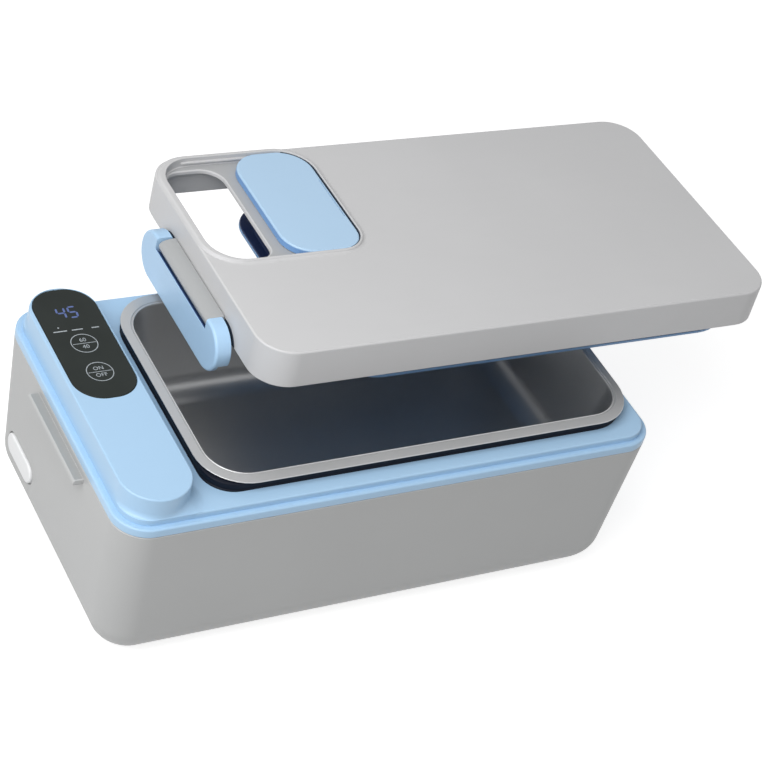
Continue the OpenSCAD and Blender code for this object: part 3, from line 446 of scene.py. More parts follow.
mark_level, mark_thick = ridge_level + 0.06, 0.04


def flat_marks(name, loops):
    """Thin printed marks on the glass, each a flat loop of points or a ring between two loops."""
    piece, shape = new_piece(name), bmesh.new()
    for outer, inner in loops:
        sheets = [[[shape.verts.new(Vector((x, y, z)) * mm) for x, y in loop]
                   for loop in (outer, inner) if loop] for z in (mark_level - mark_thick, mark_level)]
        turns = [(i, (i + 1) % len(outer)) for i in range(len(outer))]
        for low, high in zip(*sheets):
            for i, k in turns:
                shape.faces.new((low[i], low[k], high[k], high[i]))
        for sheet in sheets:
            if inner:
                for i, k in turns:
                    shape.faces.new((sheet[0][i], sheet[0][k], sheet[1][k], sheet[1][i]))
            else:
                shape.faces.new(sheet[0])
    finish_mesh(piece, shape)
    return piece


def bar(x, y, length, width):
    """A flat stroke along X with square ends."""
    return [(x + sx * (length + width) / 2, y + sy * width / 2)
            for sx, sy in ((-1, -1), (1, -1), (1, 1), (-1, 1))]


def arc(x, y, radius, turns):
    """Points on a circle at the given turns in degrees."""
    return [(x + radius * math.cos(math.radians(turn)), y + radius * math.sin(math.radians(turn)))
            for turn in turns]


# Seven-segment digits: each lit segment is a slim six-sided bar.
digit_tall, digit_wide, digit_pitch, digit_stroke, digit_lean = 6.7, 3.4, 5.3, 0.9, 0.09
display_x, display_y = -111.2, 50.1
segments = {"a": (0, 1, 1, 1), "b": (1, 0.5, 1, 1), "c": (1, 0, 1, 0.5), "d": (0, 0, 1, 0),
            "e": (0, 0, 0, 0.5), "f": (0, 0.5, 0, 1), "g": (0, 0.5, 1, 0.5)}


def segment(x0, y0, x1, y1):
    """One lit segment between two corners of a digit, with pointed ends."""
    first, last = Vector((x0, y0)), Vector((x1, y1))
    along = (last - first).normalized()
    first, last = first + along * 0.18, last - along * 0.18
    across, tip = Vector((-along.y, along.x)) * digit_stroke / 2, along * digit_stroke / 2
    loop = [first, first + tip - across, last - tip - across, last, last - tip + across, first + tip + across]
    return [(p.x + digit_lean * (p.y - display_y), p.y) for p in loop]


lit = []
for place, names in ((-0.5, "fgbc"), (0.5, "afgcd")):
    left = display_x + place * digit_pitch - digit_wide / 2
    low = display_y - digit_tall / 2
    for u0, v0, u1, v1 in (segments[name] for name in names):
        lit.append((segment(left + u0 * digit_wide, low + v0 * digit_tall,
                            left + u1 * digit_wide, low + v1 * digit_tall), None))
digits = flat_marks("display_digits", lit)
glow, shader, start = new_material("display_glow")
flicker = noise_at(start, 900, 1).step(0.3, 0.8)
feed(shader, {"Base Color": tint(44, 56, 92), "Roughness": 0.4, "Emission Strength": 0.62,
              "Emission Color": flicker.mix(tint(80, 100, 160), tint(98, 118, 176))})
fit(digits, glow, "panel", "base")

# The printed marks: three small indicators, and two round touch keys, each split by a line.
key_x, key_radius, key_line, indicator_y = -110.8, 5.95, 0.36, 38.8
keys = ((key_x, glass_y - 0.6), (key_x + 0.1, glass_y - 18.9))
marks = []
for x, y in keys:
    marks.append(tuple(arc(x, y, radius, range(0, 360, 9)) for radius in (key_radius, key_radius - key_line)))
    marks.append((bar(x, y, 2 * key_radius - 1.8, 0.28), None))
for dx, wide in ((-7.6, 5.6), (0.2, 4.4), (8.4, 2.8)):
    marks.append((bar(key_x + dx, indicator_y, wide, 0.6), None))
marks.append((arc(key_x - 7.6, indicator_y + 2.4, 0.42, range(0, 360, 30)), None))
print_marks = flat_marks("printed_marks", marks)
mark_ink, shader, start = new_material("mark_ink")
ink_wear = noise_at(start, 1500, 2).step(0.35, 0.7)
feed(shader, {"Base Color": ink_wear.mix(tint(150, 158, 164), tint(186, 192, 197)), "Roughness": 0.55})
fit(print_marks, mark_ink, "panel", "base")


def lettering(name, words):
    """Short plain words and numbers, set in the printing's simple face and given a thin body."""
    made = []
    for text, x, y, size in words:
        curve = bpy.data.curves.new(name, "FONT")
        curve.body, curve.size = text, size * mm
        curve.align_x, curve.align_y = "CENTER", "CENTER"
        curve.extrude, curve.resolution_u = mark_thick * mm / 2, 3
        made.append(bpy.data.objects.new(name, curve))
        made[-1].location = Vector((x, y, mark_level - mark_thick / 2)) * mm
        link(made[-1])
    bpy.context.view_layer.update()
    dg = bpy.context.evaluated_depsgraph_get()
    shape = bmesh.new()
    for word in made:
        mesh = word.evaluated_get(dg).to_mesh()
        mesh.transform(word.matrix_world)
        shape.from_mesh(mesh)
    for word in made:
        bpy.data.objects.remove(word)
    piece = new_piece(name)
    finish_mesh(piece, shape)
    return piece


words = lettering("printed_words", [(text, keys[key][0], keys[key][1] + dy, size) for text, key, dy, size in (
    ("60", 0, 2.1, 3.2), ("40", 0, -2.2, 3.2), ("ON", 1, 2.1, 3.0), ("OFF", 1, -2.1, 3.0))])
fit(words, mark_ink, "panel", "base")

# Under the glass, out of sight, are the display block, two sprung touch contacts and the control board. The
# board is glass fibre under solder resist, with copper tracks that show as a lighter, raised pattern.
board_green, shader, start = new_material("board_green")
tracks = start.node("TexBrick", {"Vector": start.node("TexCoord", output="Object"), "Scale": 90.0,
                                 "Mortar Size": 0.03, "Brick Width": 0.9, "Row Height": 0.16,
                                 "Color1": (0, 0, 0, 1), "Color2": (0, 0, 0, 1), "Mortar": (1, 1, 1, 1)},
                    offset=0.35, squash=0.6, squash_frequency=3)
fibre = noise_at(start, 1800, 2)
copper = tracks * 0.8 + fibre * 0.2
feed(shader, {"Base Color": copper.step(0.15, 0.7).mix(tint(20, 82, 52), tint(58, 128, 82)),
              "Roughness": fibre * 0.1 + 0.3, "Normal": bumps(copper, 0.3, 0.00005)})
coat(board_green, "control_board")
coat(moulded("display_black", tint(30, 32, 35), 0.5, 0.1, 2600, 0.08), "display_module")
coat(turned_steel("gold_plate", (0.83, 0.62, 0.30, 1.0), 0.25), "touch_springs")
coat(screw_steel, "control_board_screws")

# Tray seal -------------------------------------------------------------------------------------------
# The tray seal is a navy silicone collar round the well. The tray's steel rim rests on it, and it shows as
# a thin dark line between the deck and the rim. Beside the ridge the seal is made wider as painted shade for
# the deep groove there.
rim_length, rim_width, rim_corner = 211.1, 121.0, 21.7
# The seal's extra width beside the ridge is painted shade.
seal_tall, seal_in, seal_shade_widening, steel = 4.3, 1.2, 1.5, 0.8
seal_top = deck_level + seal_tall
seal_round, seal_tight = rim_corner - seal_in, rim_corner - 7.7
seal_plan = plan(rim_length - 2 * seal_in + seal_shade_widening, rim_width - 2 * seal_in,
                 (seal_round, seal_round, seal_tight, seal_round), tray_x - seal_shade_widening / 2)


def rubber(name, colour, rough=0.55, lint=0.25):
    """Moulded rubber or silicone: a soft sheen, a faint bloom and a little lint."""
    material, shader, start = new_material(name)
    bloom = noise_at(start, 40, 4).step(0.4, 0.8)
    specks = noise_at(start, 1400, 1).step(0.70, 0.78)
    pale = tuple(min(1.0, c * 1.5 + 0.01) for c in colour[:3]) + (1.0,)
    feed(shader, {"Base Color": (bloom * 0.35 + specks * lint).mix(colour, pale),
                  "Roughness": bloom * 0.12 + (rough - 0.06), "Specular IOR Level": 0.2,
                  "Normal": bumps(noise_at(start, 2200, 2), 0.15, 0.00003)})
    return material


navy_silicone = rubber("navy_silicone", tint(2, 8, 24), 0.6, 0.08)
seal_rings = seal_plan((0, deck_level), (0, deck_level + 0.6), (0.35, deck_level + 0.9),
                       (0.35, deck_level + 1.5), (0, deck_level + 1.8), *round_over(0, seal_top, 0.5, 3))
seal_rings += well_plan((-0.3, seal_top), (0, seal_top - 0.3), (0, deck_level))
seal = loft("tray_seal_collar", seal_rings, closed=True)
fit(seal, navy_silicone, "seal", "base", "tray_seal")

# Food tray -------------------------------------------------------------------------------------------
# The food tray is deep-drawn stainless steel, 0.8 mm thick, with a flat brushed rim whose edge is hemmed
# round, and satin walls that lean in to a wide round at the floor.
tub_length, tub_width, tub_corner = 201.3, 108.6, 16.8
tray_floor, tray_lean, tray_round = 40.0, 5.0, 11.0
rim_left, hem = 0.7, 0.3
tray_top = seal_top + steel
tray_deep = tray_top - tray_floor
rim_plan = plan(rim_length + rim_left, rim_width, rim_corner, tray_x - rim_left / 2)
tub_plan = plan(tub_length, tub_width, tub_corner, tray_x)
tray_outside = tub_rings(tub_length + 2 * steel, tub_width + 2 * steel, tub_corner + steel, tray_deep,
                         tray_lean, tray_lean, tray_round, tray_floor, tray_x)
tray_inside = tub_rings(tub_length, tub_width, tub_corner, tray_deep - steel, tray_lean, tray_lean,
                        tray_round - steel, tray_floor + steel, tray_x)
bead = [(-0.45 - 0.45 * math.cos(angle), tray_top - 0.45 + 0.4 * math.sin(angle))
        for angle in map(math.radians, range(0, 91, 18))]
drawn_edge = [(-0.45 * (1 - math.sin(angle)), tray_top - 0.05 - 1.5 * (1 - math.cos(angle)))
              for angle in map(math.radians, range(15, 91, 15))]
tray_rings = tray_outside[:0:-1] + tub_plan((-steel, seal_top - 0.3), (-steel - 0.6, seal_top))
tray_rings += rim_plan((2.4, seal_top), (0.5, seal_top), *round_over(0, tray_top, hem, 5, -60))
tray_rings += tub_plan((-1.55, tray_top), (-1.25, tray_top - 0.35), (-0.95, tray_top - 0.35),
                       *bead, *drawn_edge)
food_tray = loft("food_tray_pressing", tray_rings + tray_inside[1:])


def axis_of(start, index):
    """A wire along one axis of the object."""
    return start.node("SeparateXYZ", {0: start.node("TexCoord", output="Object")}, index)


# The steel is brushed along the rim and down the walls, with a few fine scratches and faint water marks.
steel_grey = (0.52, 0.525, 0.53, 1.0)
tray_steel, shader, start = new_material("tray_steel")
on_rim = axis_of(start, 2).step((tray_top - 1.2) * mm, (tray_top - 0.5) * mm)
brush = noise_at(start, 420, 4, (0.05, 3, 3)) * on_rim + noise_at(start, 300, 4, (3, 3, 0.06)) * (1 - on_rim)
scratches = noise_at(start, 90, 5, (6, 0.7, 2), 0.7).step(0.70, 0.76)
water = noise_at(start, 24, 4).step(0.45, 0.75)
feed(shader, {"Base Color": (brush * 0.7 + water * 0.3).mix(shade(steel_grey, 0.93), steel_grey),
              "Metallic": on_rim * -0.22 + 0.98,
              "Roughness": brush * 0.06 + scratches * 0.06 + water * 0.04 + on_rim * 0.06 + 0.32,
              "Normal": bumps(brush, 0.03, 0.00003)})
fit(food_tray, tray_steel, "steel", "food_tray", "food_tray")

# Heating well ----------------------------------------------------------------------------------------
# The heating well is spun aluminium, screwed up under the deck. Below it are the cast heating plate, two
# ceramic heater bars, the cutoff and the sensor, and a felt pad that keeps the heat off the cells.
coat(turned_steel("spun_aluminium", (0.72, 0.73, 0.74, 1.0), 0.34, 500, (2, 2, 12)), "well_liner")
coat(turned_steel("cast_aluminium", (0.52, 0.52, 0.53, 1.0), 0.5, 700, (1, 1, 1)), "heating_plate")
coat(moulded("heater_ceramic", tint(196, 170, 140), 0.7, 0.35, 1200, 0.08, 0.3), "heater_bars")
coat(moulded("cutoff_black", tint(34, 33, 35), 0.45, 0.12, 2400, 0.08), "thermal_cutoff")
coat(moulded("sensor_amber", tint(190, 112, 48), 0.35, 0.1, 2400, 0.06), "temperature_sensor")
coat(screw_steel, "liner_screws")

# The pad's felt shows two crossed sets of short hairs.
felt_buff = tint(214, 205, 184)
pad_felt, shader, start = new_material("pad_felt")
hairs = noise_at(start, 700, 4, (6, 1, 1), 0.7) * 0.5 + noise_at(start, 760, 4, (1, 6, 1), 0.7) * 0.5
feed(shader, {"Base Color": hairs.step(0.35, 0.65).mix(shade(felt_buff, 0.7), felt_buff), "Roughness": 0.95,
              "Specular IOR Level": 0.1, "Normal": bumps(hairs, 0.6, 0.0003)})
coat(pad_felt, "insulation_pad")

# Battery and power board -----------------------------------------------------------------------------
# Six cells in glossy shrink sleeves lie in a black holder over the bottom cover, joined by spot-welded
# nickel strips. The charger's board stands on posts at the left, and soft silicone leads join them.
sleeve_end, fade = 60, 0.4
cell_sleeve, shader, start = new_material("cell_sleeve")
along_cells = axis_of(start, 0)
end_band = along_cells.maths("ABSOLUTE", along_cells).step(sleeve_end * mm, (sleeve_end + fade) * mm)
wrinkles = noise_at(start, 160, 3, (0.3, 3, 3))
sleeve_blue = wrinkles.step(0.3, 0.7).mix(tint(36, 92, 152), tint(48, 106, 168))
feed(shader, {"Base Color": end_band.mix(sleeve_blue, tint(214, 218, 222)),
              "Roughness": wrinkles * 0.1 + 0.22, "Normal": bumps(wrinkles, 0.2, 0.0001)})
coat(cell_sleeve, "battery_cells")
coat(moulded("holder_black", tint(44, 45, 48), 0.5, 0.14, 2400, 0.06), "cell_holder")
coat(turned_steel("nickel", (0.66, 0.64, 0.60, 1.0), 0.32, 600, (1, 12, 1)), "nickel_strips")
coat(board_green, "power_board")
coat(screw_steel, "power_board_screws")
coat(moulded("ribbon_film", tint(170, 172, 176), 0.3, 0.2, 900, 0.1), "ribbon_cable")
coat(rubber("lead_silicone", tint(152, 32, 34), 0.5), "battery_leads")
coat(rubber("heat_lead_silicone", tint(208, 208, 204), 0.5, 0.1), "heater_leads")

# Bottom cover ----------------------------------------------------------------------------------------
# The bottom cover is a flat ABS plate held by six screws in counterbores, with a rubber band set in a
# groove for a foot, ribbed along so that it grips.
bottom_cover = new_piece("bottom_cover_plate")
bottom_cover.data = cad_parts["bottom_cover"].data.copy()
soften(bottom_cover, 0.25)
fit(bottom_cover, moulded("cover_plastic", tint(176, 177, 179), 0.5, 0.14), "cover", "base", "bottom_cover")
foot_length, foot_width, foot_corner, foot_band, foot_tall, groove_half = 164, 66, 12, 8, 1.8, 0.35
foot_plan = plan(foot_length, foot_width, foot_corner, least=6)
foot_pairs = [(0, foot_tall), (0, 0.4), (0.12, 0.12), (0.4, 0)]
for groove in (2.2, 3.8, 5.4):
    foot_pairs += [(groove - groove_half, 0), (groove, groove_half), (groove + groove_half, 0)]
foot_pairs += [(foot_band - 0.4, 0), (foot_band - 0.12, 0.12), (foot_band, 0.4), (foot_band, foot_tall)]
foot = loft("foot_band", foot_plan(*foot_pairs), closed=True)
fit(foot, rubber("foot_rubber", tint(48, 50, 53), 0.7), "foot", "base", "foot_ring")
coat(screw_steel, "cover_screws")

# Lid -------------------------------------------------------------------------------------------------
# The lid is a shallow shell in the same grey ABS, shown held up off the box. At its left end a recess with
# a raised lip surrounds the window over the touch glass, and a barrel on its end wall carries the clasp.
lid_place = (Matrix.Translation(Vector((73.46, 39.25, 109.58)) * mm)
             @ Euler((math.radians(-1.55), math.radians(0.29), math.radians(-0.57))).to_matrix().to_4x4())
lid_tall, lid_corner, lid_wall = 18.75, 16, 2.4
lid_under = lid_tall - lid_wall
recess_x, recess_y, recess_length, recess_width = -89.65, 29.75, 73.3, 74.5
window_length, window_width, box_length, box_width, box_corner = 65.7, 28.7, 76.2, 76.5, 17.8
recess_corners, window_corners = (16, 16, 16, 12.5), (10, 10, 11, 6.5)
recess_floor, recess_under, lip_low = 15.5, 13.7, 17.5
lid_plan = plan(case_length, case_width, lid_corner, least=1)
recess_plan = plan(recess_length, recess_width, recess_corners, recess_x, recess_y)
window_plan = plan(window_width, window_length, window_corners, glass_x, glass_y)
box_plan = plan(box_length, box_width, box_corner, recess_x + 0.35, recess_y - 0.8)
# The lid's grey is lighter than the case's; the gap between the two tints is painted shade on the case.
lid_plastic = moulded("lid_plastic", tint(203, 203, 204), 0.44, 0.12)
lid_rings = lid_plan((lid_wall, 0.3), (lid_wall - 0.3, 0), (0.3, 0), (0, 0.3),
                     *round_over(0, lid_tall, 0.9, 5))
lid_rings += recess_plan((-1, lid_tall), (-0.6, lip_low), (0, lip_low), (0, recess_floor + 0.4),
                         (0.4, recess_floor))
lid_rings += window_plan((-0.6, recess_floor), (-0.3, recess_floor - 0.08), (-0.08, recess_floor - 0.3),
                         (0, recess_floor - 0.6), (0, recess_under))
lid_rings += box_plan((0, recess_under), (0, lid_under))
lid_rings += lid_plan((lid_wall + 0.6, lid_under), (lid_wall, lid_under - 0.6))
lid_shell = loft("lid_shell_moulding", lid_rings, closed=True, place=lid_place)
fit(lid_shell, lid_plastic, "lid", "lid", "lid_shell")

# The recess's lip is flush with the lid's walls at the left and the back, and rises in a soft ramp from the
# lid's top at the front and the right. A thin darker plate on the recess's floor is painted shade.
lip_top = lid_tall + 1.3


def lip_ring(ramp, edge, z):
    """One ring of the lip, by its reach out from the recess at the front and the right, its inset from the
    lid's walls at the left and the back, and its height."""
    x0, x1 = edge - case_length / 2, recess_x + recess_length / 2 + ramp
    y0, y1 = recess_y - recess_width / 2 - ramp, case_width / 2 - edge
    corners = tuple(corner + ramp for corner in recess_corners)
    return level(outline(x1 - x0, y1 - y0, corners, (x0 + x1) / 2, (y0 + y1) / 2), z)


lip_rings = [lip_ring(*row) for row in (
    (3.2, 0.15, lip_low + 0.1), (3.2, 0.2, lid_tall - 0.03), (2.4, 0.25, lid_tall + 0.06),
    (1.7, 0.35, lid_tall + 0.22), (1.3, 0.5, lid_tall + 0.5), (1.2, 0.65, lid_tall + 0.85),
    (1.05, 0.9, lip_top - 0.2), (0.75, 1.3, lip_top - 0.03), (0.5, 1.6, lip_top))]
lip_rings += recess_plan((-0.3, lip_top), (-0.08, lip_top - 0.12), (0, lip_top - 0.35), (0, lip_low))
window_lip = loft("window_lip", lip_rings, closed=True, place=lid_place)
fit(window_lip, lid_plastic, "lid", "lid")
# This plate's darker grey is painted shade on the recess's floor.
floor_shade_rings = recess_plan((0.3, recess_floor - 0.3), (0.3, recess_floor + 0.03))
floor_shade_rings += window_plan((-0.7, recess_floor + 0.03), (-0.7, recess_floor - 0.3))
recess_floor_shade = loft("recess_floor_shade", floor_shade_rings, closed=True, place=lid_place)
fit(recess_floor_shade, moulded("floor_shade_plastic", tint(176, 177, 178), 0.5, 0.1), "lid", "lid")

# The barrel for the clasp's pin is a thick bead on the end wall, moulded with it in a glossier pocket of the
# mould. Its top is nearly flat and falls away in a round, and a narrow groove parts it from the wall. Its
# grey is darker than the lid's as painted shade from the end wall.
pivot_x, pivot_z, barrel_radius, barrel_length = -134.1, 4.8, 4.1, 55.5
barrel_profile = [(-128.8, 5.5), (-130.35, 5.5), (-130.35, 7.62), (-130.6, 7.82), (-131.5, 7.85),
                  (-133.0, 7.7), (-134.5, 7.45), (-135.7, 7.15), (-136.6, 6.8), (-137.2, 6.45),
                  (-137.6, 6.1), (-137.9, 5.7), (-138.1, 5.3), (-138.18, 4.9)]
barrel_profile += arc(pivot_x, pivot_z, barrel_radius, range(186, 271, 12))
barrel_profile += [(-128.8, pivot_z - barrel_radius)]
barrel_mid_x, barrel_mid_z, barrel_half = -132.5, 4.3, 3.6


def barrel_ring(inset, back):
    """The barrel's section near its front end, drawn in evenly, its back still sunk in the lid's wall."""
    share, y = 1 - inset / barrel_half, clasp_y - barrel_length / 2 + back
    return [(x if x > -129 else barrel_mid_x + (x - barrel_mid_x) * share, y,
             barrel_mid_z + (z - barrel_mid_z) * share) for x, z in barrel_profile]


barrel_rings = [barrel_ring(*row) for row in ((0.7, 0), (0.3, 0.1), (0.08, 0.35), (0, 0.75))]
barrel_rings += [[(x, 2 * clasp_y - y, z) for x, y, z in ring] for ring in barrel_rings[::-1]]
barrel = loft("clasp_barrel", barrel_rings, place=lid_place)
# The barrel's darker grey is painted shade.
fit(barrel, moulded("barrel_painted_shade", tint(166, 168, 169), 0.22, 0.03, 2600, 0.02, 0.8), "lid", "lid")

# Inside the lid, two ribs press the inner lid down, and a barbed tongue hooks the right end to the deck.
press_low, press_high, press_x0, press_x1, press_y = 13.54, 16.5, -43, 57, 30
for side in (-1, 1):
    rib = extrude_y("press_rib", [(press_x0, press_low), (press_x1, press_low), (press_x1, press_high),
                                  (press_x0, press_high)], side * press_y - 1, side * press_y + 1, lid_place)
    soften(rib, 0.3)
    fit(rib, lid_plastic, "lid", "lid")
tongue_in, tongue_out, tongue_barb, tongue_low, tongue_high, tongue_half = 125.8, 127.6, 128.4, -2.6, 8, 15
tongue_profile = [(tongue_in, tongue_high), (tongue_in, tongue_low), (tongue_barb, tongue_low),
                  (tongue_out, tongue_low + 1.4), (tongue_out, tongue_high)]
tongue = extrude_y("end_tongue", tongue_profile, -tongue_half, tongue_half, lid_place)
soften(tongue, 0.2)
fit(tongue, lid_plastic, "lid", "lid")

# Guide rails: slim strips on the recess's front and back walls that hold the window cover down.
rail_left, rail_right, rail_low, rail_high, ease, rail_play = -113.5, -69, 17.0, 18.0, 0.2, 0.2
rail_steps = ((ease, rail_low), (0, rail_low + ease), (0, rail_high - ease), (ease, rail_high))
for side, name, nodes in ((-1, "guide_strip_front", ()), (1, "guide_strip_back", ("guide_rails",))):
    wall_y, edge_y = (recess_y + side * (recess_width / 2 + out) for out in (0.3, -1))
    strip = loft(name, [[(rail_left + i, wall_y, z), (rail_right - i, wall_y, z),
                         (rail_right - i, edge_y + side * i, z), (rail_left + i, edge_y + side * i, z)]
                        for i, z in rail_steps], place=lid_place)
    fit(strip, lid_plastic, "lid", "lid", *nodes)

# Window cover ----------------------------------------------------------------------------------------
# The window cover is a pale blue ABS slide that covers the touch glass in a bag and stands open here. It
# runs in the recess on the guide rails, a darker blue band round its sides is painted shade, and a fine grip
# line is cut near its right edge.
slide_length, slide_width, slide_corners, slide_x = 37.4, 73.8, (14.65, 14.65, 14.65, 11.4), -72.3
slide_low, slide_thick = 15.8, 3.8
slide_top = slide_low + slide_thick
slide_plan = plan(slide_length, slide_width, slide_corners, slide_x, recess_y)
slide_plastic = moulded("slide_plastic", tint(178, 209, 236), 0.36, 0.08, 2600, 0.012, 0.45)
window_slide = loft("window_slide", slide_plan((0.3, slide_low), (0, slide_low + 0.3),
                                               *round_over(0, slide_top, 0.9)), place=lid_place)
slide_side_shade = loft("slide_side_shade", slide_plan((0.3, slide_low + 0.3), (-0.02, slide_low + 0.3),
                                             (-0.02, slide_top - 0.85), (0.3, slide_top - 0.85)),
                   closed=True, place=lid_place)
slot_left, slot_right, slot_low, slot_high = -112, -30, rail_low - rail_play, rail_high + rail_play
slot_deep, slot_out = 35.7, 40
rail_slot = [(slot_left, slot_low), (slot_right, slot_low), (slot_right, slot_high), (slot_left, slot_high)]
for piece in (window_slide, slide_side_shade):
    cut(piece, *[extrude_y("groove", rail_slot, recess_y + side * slot_deep, recess_y + side * slot_out,
                           lid_place) for side in (-1, 1)])
grip_groove = [(-55.1, 18.9), (-54.75, 18.9), (-54.65, 21), (-55.1, 21)]
cut(window_slide, extrude_y("grip", grip_groove, 15, 43, lid_place))
fit(window_slide, slide_plastic, "slider", "window_cover", "window_cover")
# The sides' darker blue is painted shade.
side_shade_plastic = moulded("side_shade_plastic", tint(120, 162, 213), 0.42, 0.08, 2600, 0.012, 0.3)
fit(slide_side_shade, side_shade_plastic, "slider", "window_cover")

# A thin dark strip lines the recess's right edge and most of the corner at each end of it, and the open slide
# stops against it. Its dark colour is painted shade for the narrow gap beside the slide.
strip_low, strip_high, corner_points = 16.5, lip_top - 0.5, 9
strip_back, strip_front = (ring[-corner_points:] + ring[:corner_points]
                           for ring in recess_plan((-0.1, 0), (0.42, 0)))
strip_rings = [[(x, y, strip_low), (x, y, strip_high), (u, v, strip_high), (u, v, strip_low)]
               for (x, y, _), (u, v, _) in zip(strip_back, strip_front)]
gap_shade_strip = loft("slide_gap_shade_strip", strip_rings, place=lid_place)
# A dark rubber look used for painted shade, here and behind the clasp's arms.
shade_rubber = rubber("shade_rubber", tint(42, 50, 62), 0.6, 0.08)
fit(gap_shade_strip, shade_rubber, "seal", "lid")

# Clasp -----------------------------------------------------------------------------------------------
# The clasp is a thick round-ended ABS lever in the same pale blue, swung on a steel pin through the barrel.
# Its two arms are as deep as the barrel, a darker strip in the hollow round the barrel is painted shade, and
# a lip inside its plate snaps under the catch rib.
clasp_face, clasp_length, clasp_tall, clasp_drop = -139.0, 85, 23.6, 15.6
clasp_inside, arm_end, arm_low, plate_high, web_low = clasp_face + 2.6, clasp_face + 7.4, -8, 2.3, -1.2
cut_left, cut_right, cut_side, cut_low, cut_high = -150, -120, 60, -30, 20
clasp_plan = upright(clasp_length, clasp_tall, clasp_y, clasp_tall / 2 - clasp_drop, steps=14)
clasp_plastic = moulded("clasp_plastic", tint(174, 208, 238), 0.34, 0.08, 2600, 0.012, 0.45)


def block(name, x0, y0, z0, y1, z1):
    """A plain cutting block that ends inside the lid."""
    return loft(name, [[(x0, y0, z), (cut_right, y0, z), (cut_right, y1, z), (x0, y1, z)] for z in (z0, z1)])


def move(piece, place):
    """Moves a piece's shape to its place."""
    shape = bmesh.new()
    shape.from_mesh(piece.data)
    bmesh.ops.transform(shape, matrix=place, verts=shape.verts)
    finish_mesh(piece, shape)


face_edge = [(inset, clasp_face - depth) for inset, depth in round_over(0, 0, 1.3, 6)[::-1]]
clasp_rings = clasp_plan(*face_edge, (0, arm_end - 0.6), (0.18, arm_end - 0.18), (0.6, arm_end))
clasp = loft("clasp_lever", clasp_rings)
hollow_radius, hollow_half = barrel_radius + 1.2, barrel_length / 2 + 0.5
hollow_y0, hollow_y1 = clasp_y - hollow_half, clasp_y + hollow_half
cut(clasp,
    block("room", cut_left, hollow_y0, plate_high, hollow_y1, cut_high),
    extrude_y("hollow", arc(pivot_x, pivot_z, hollow_radius, range(0, 360, 6)), hollow_y0, hollow_y1),
    block("back", clasp_inside, hollow_y0, cut_low, hollow_y1, web_low),
    block("heel", clasp_inside, -cut_side, cut_low, cut_side, arm_low))
soften(clasp, 0.2, 2, 40)
hook_thick, hook_half = 2.5, 26.4
hook_low = catch_low - ledge_level - 0.3 - hook_thick
hook_root, hook_tip, hook_high = clasp_face + 1.5, clasp_inside + 4.9, hook_low + hook_thick
hook = extrude_y("hook_lip", [(hook_root, hook_low), (hook_tip, hook_low + 0.6), (hook_tip, hook_high),
                              (hook_root, hook_high)], clasp_y - hook_half, clasp_y + hook_half, lid_place)
soften(hook, 0.3)
move(clasp, lid_place)
fit(clasp, clasp_plastic, "clasp", "clasp", "clasp")
# The darker strip in the hollow is painted shade.
shade_strip_sunk, shade_strip_proud = 0.02, 0.25
shade_strip_profile = arc(pivot_x, pivot_z, hollow_radius + shade_strip_sunk, range(210, 286, 5))
shade_strip_profile += arc(pivot_x, pivot_z, hollow_radius - shade_strip_proud, range(285, 209, -5))
hollow_shade_strip = extrude_y("hollow_shade_strip", shade_strip_profile, hollow_y0, hollow_y1, lid_place)
fit(hollow_shade_strip, moulded("hollow_shade_plastic", tint(70, 98, 148), 0.5, 0.08, 2600, 0.012, 0.3), "slider", "clasp")
fit(hook, clasp_plastic, "clasp", "clasp")
coat(screw_steel, "clasp_pin")

# Behind each arm a thin dark pad on the lid's end wall is painted shade for the gap between the arm and the
# wall.
shade_pad_low, shade_pad_face = 0.6, -130.45
for side, name in ((-1, "front_shade_pad"), (1, "back_shade_pad")):
    arm_shade_pad = loft(name, clasp_plan((1.2, -129.9), (1.2, shade_pad_face + 0.15), (1.5, shade_pad_face)))
    cut(arm_shade_pad,
        block("middle", cut_left, clasp_y - side * cut_side, cut_low, clasp_y + side * hollow_half, cut_high),
        block("below", cut_left, -cut_side, cut_low, cut_side, shade_pad_low))
    move(arm_shade_pad, lid_place)
    fit(arm_shade_pad, shade_rubber, "seal", "lid")

# Inner lid -------------------------------------------------------------------------------------------
# The inner lid closes the tray: a mid-blue flange a little wider than the tray's rim, a navy raised middle
# moulded over it, and a navy silicone gasket pressed into the groove round its underside.
inner_low, flange_thick, inner_tall, inner_inset, inner_margin, inner_left = -9.5, 2.6, 5.2, 5, 1.2, 1.6
inner_place = lid_place @ Matrix.Translation(Vector((0, 0, inner_low)) * mm)
inner_corner = rim_corner + inner_margin
inner_plan = plan(rim_length, rim_width, rim_corner, tray_x)
flange_plan = plan(rim_length + 2 * inner_margin - inner_left, rim_width + 2 * inner_margin,
                   (inner_corner, inner_corner - 3.8 * inner_left, inner_corner, inner_corner),
                   tray_x + inner_left / 2)
flange_rings = inner_plan((4.4, 0), (3.8, 0), (3.8, 1.5), (1.2, 1.5), (1.2, 0))
flange_rings += flange_plan((0.6, 0), (0.15, 0.25), (0, 0.6), (0, 1.5), (0.2, 1.7),
                            (inner_margin + 2, 1.7), (inner_margin + 2, 2))
flange = loft("inner_lid_plate", flange_rings, place=inner_place)
flange_plastic = moulded("flange_plastic", tint(122, 162, 206), 0.4, 0.08, 2600, 0.012, 0.4)
fit(flange, flange_plastic, "inner_lid", "inner_lid", "inner_lid")
crown_rings = flange_plan((0.5, 1.65), (0.25, 1.65), *round_over(0.15, flange_thick + 0.1, 0.7, 3))
crown_rings += inner_plan((inner_inset - 1.0, flange_thick + 0.15), (inner_inset - 0.3, flange_thick + 0.4),
                          (inner_inset, flange_thick + 1.0), *round_over(inner_inset, inner_tall, 0.8, 3))
crown = loft("inner_lid_crown", crown_rings, place=inner_place)
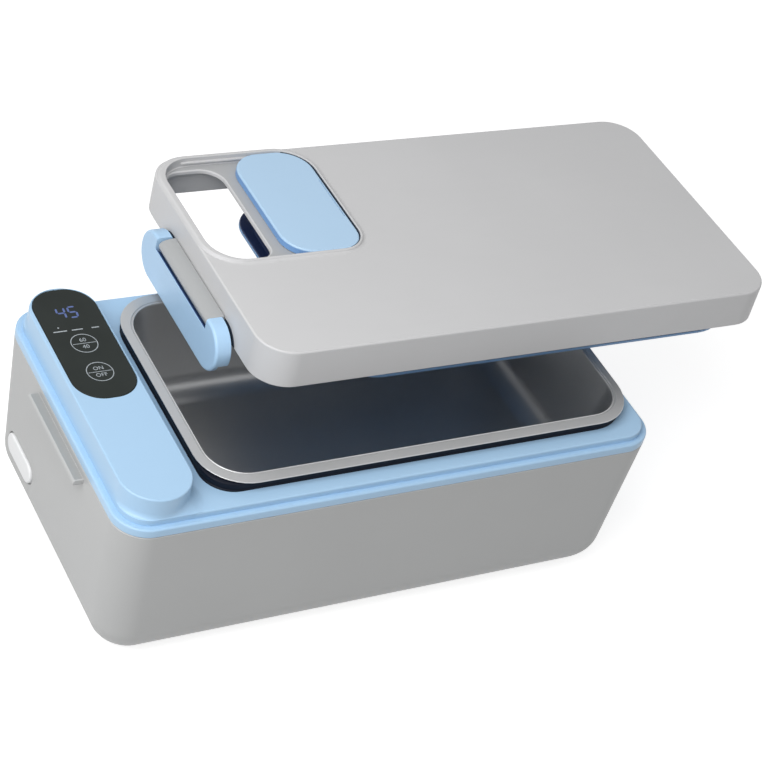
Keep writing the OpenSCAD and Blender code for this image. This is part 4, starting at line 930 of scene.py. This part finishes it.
crown_plastic = moulded("crown_plastic", tint(24, 40, 78), 0.42, 0.08, 2600, 0.03, 0.35)
fit(crown, crown_plastic, "inner_lid", "inner_lid")
gasket_rings = inner_plan((1.35, 1.5), (1.35, 0.35), (1.7, 0), (2.3, 0.3), (2.8, 0), (3.65, 0.35),
                          (3.65, 1.5))
gasket = loft("inner_lid_seal", gasket_rings, closed=True, place=inner_place)
fit(gasket, navy_silicone, "gasket", "inner_lid", "inner_lid_gasket")

# Studio ----------------------------------------------------------------------------------------------
# A pale floor, a white surround, and one wide soft lamp high at the left that lights the top and the left
# side a little more than the front.
floor = new_piece("studio_floor")
shape = bmesh.new()
bmesh.ops.create_grid(shape, x_segments=1, y_segments=1, size=3)
shape.to_mesh(floor.data)
shape.free()
floor_paint, shader, start = new_material("floor_paint")
seen, gloss_seen = (start.node("LightPath", output=f"Is {kind} Ray") for kind in ("Camera", "Glossy"))
feed(shader, {"Base Color": (0.57, 0.57, 0.57, 1), "Roughness": 1.0, "Specular IOR Level": 0.0,
              "Emission Color": (1, 1, 1, 1), "Emission Strength": (seen + gloss_seen) * 0.75})
paint(floor, floor_paint)

lit_level = 0.38
world = bpy.data.worlds.new("studio")
bpy.context.scene.world = world
world.use_nodes = True
start = Wire(world.node_tree)
seen, gloss_seen = (start.node("LightPath", output=f"Is {kind} Ray") for kind in ("Camera", "Glossy"))
shown = start.maths("MAXIMUM", seen, gloss_seen)
feed(world.node_tree.nodes["Background"],
     {"Color": (1, 1, 1, 1), "Strength": shown * (1 - lit_level) + lit_level})

lamp_data = bpy.data.lights.new("key_lamp", "AREA")
lamp_data.shape, lamp_data.size, lamp_data.size_y, lamp_data.energy = "RECTANGLE", 0.8, 0.8, 7.8
lamp = bpy.data.objects.new("key_lamp", lamp_data)
link(lamp)
lamp_from = Vector((-0.55, -0.25, 0.75))
lamp.matrix_world = Matrix.Translation(lamp_from) @ lamp_from.to_track_quat("Z", "Y").to_matrix().to_4x4()

bpy.context.scene.view_settings.view_transform = "Standard"

bpy.context.view_layer.update()
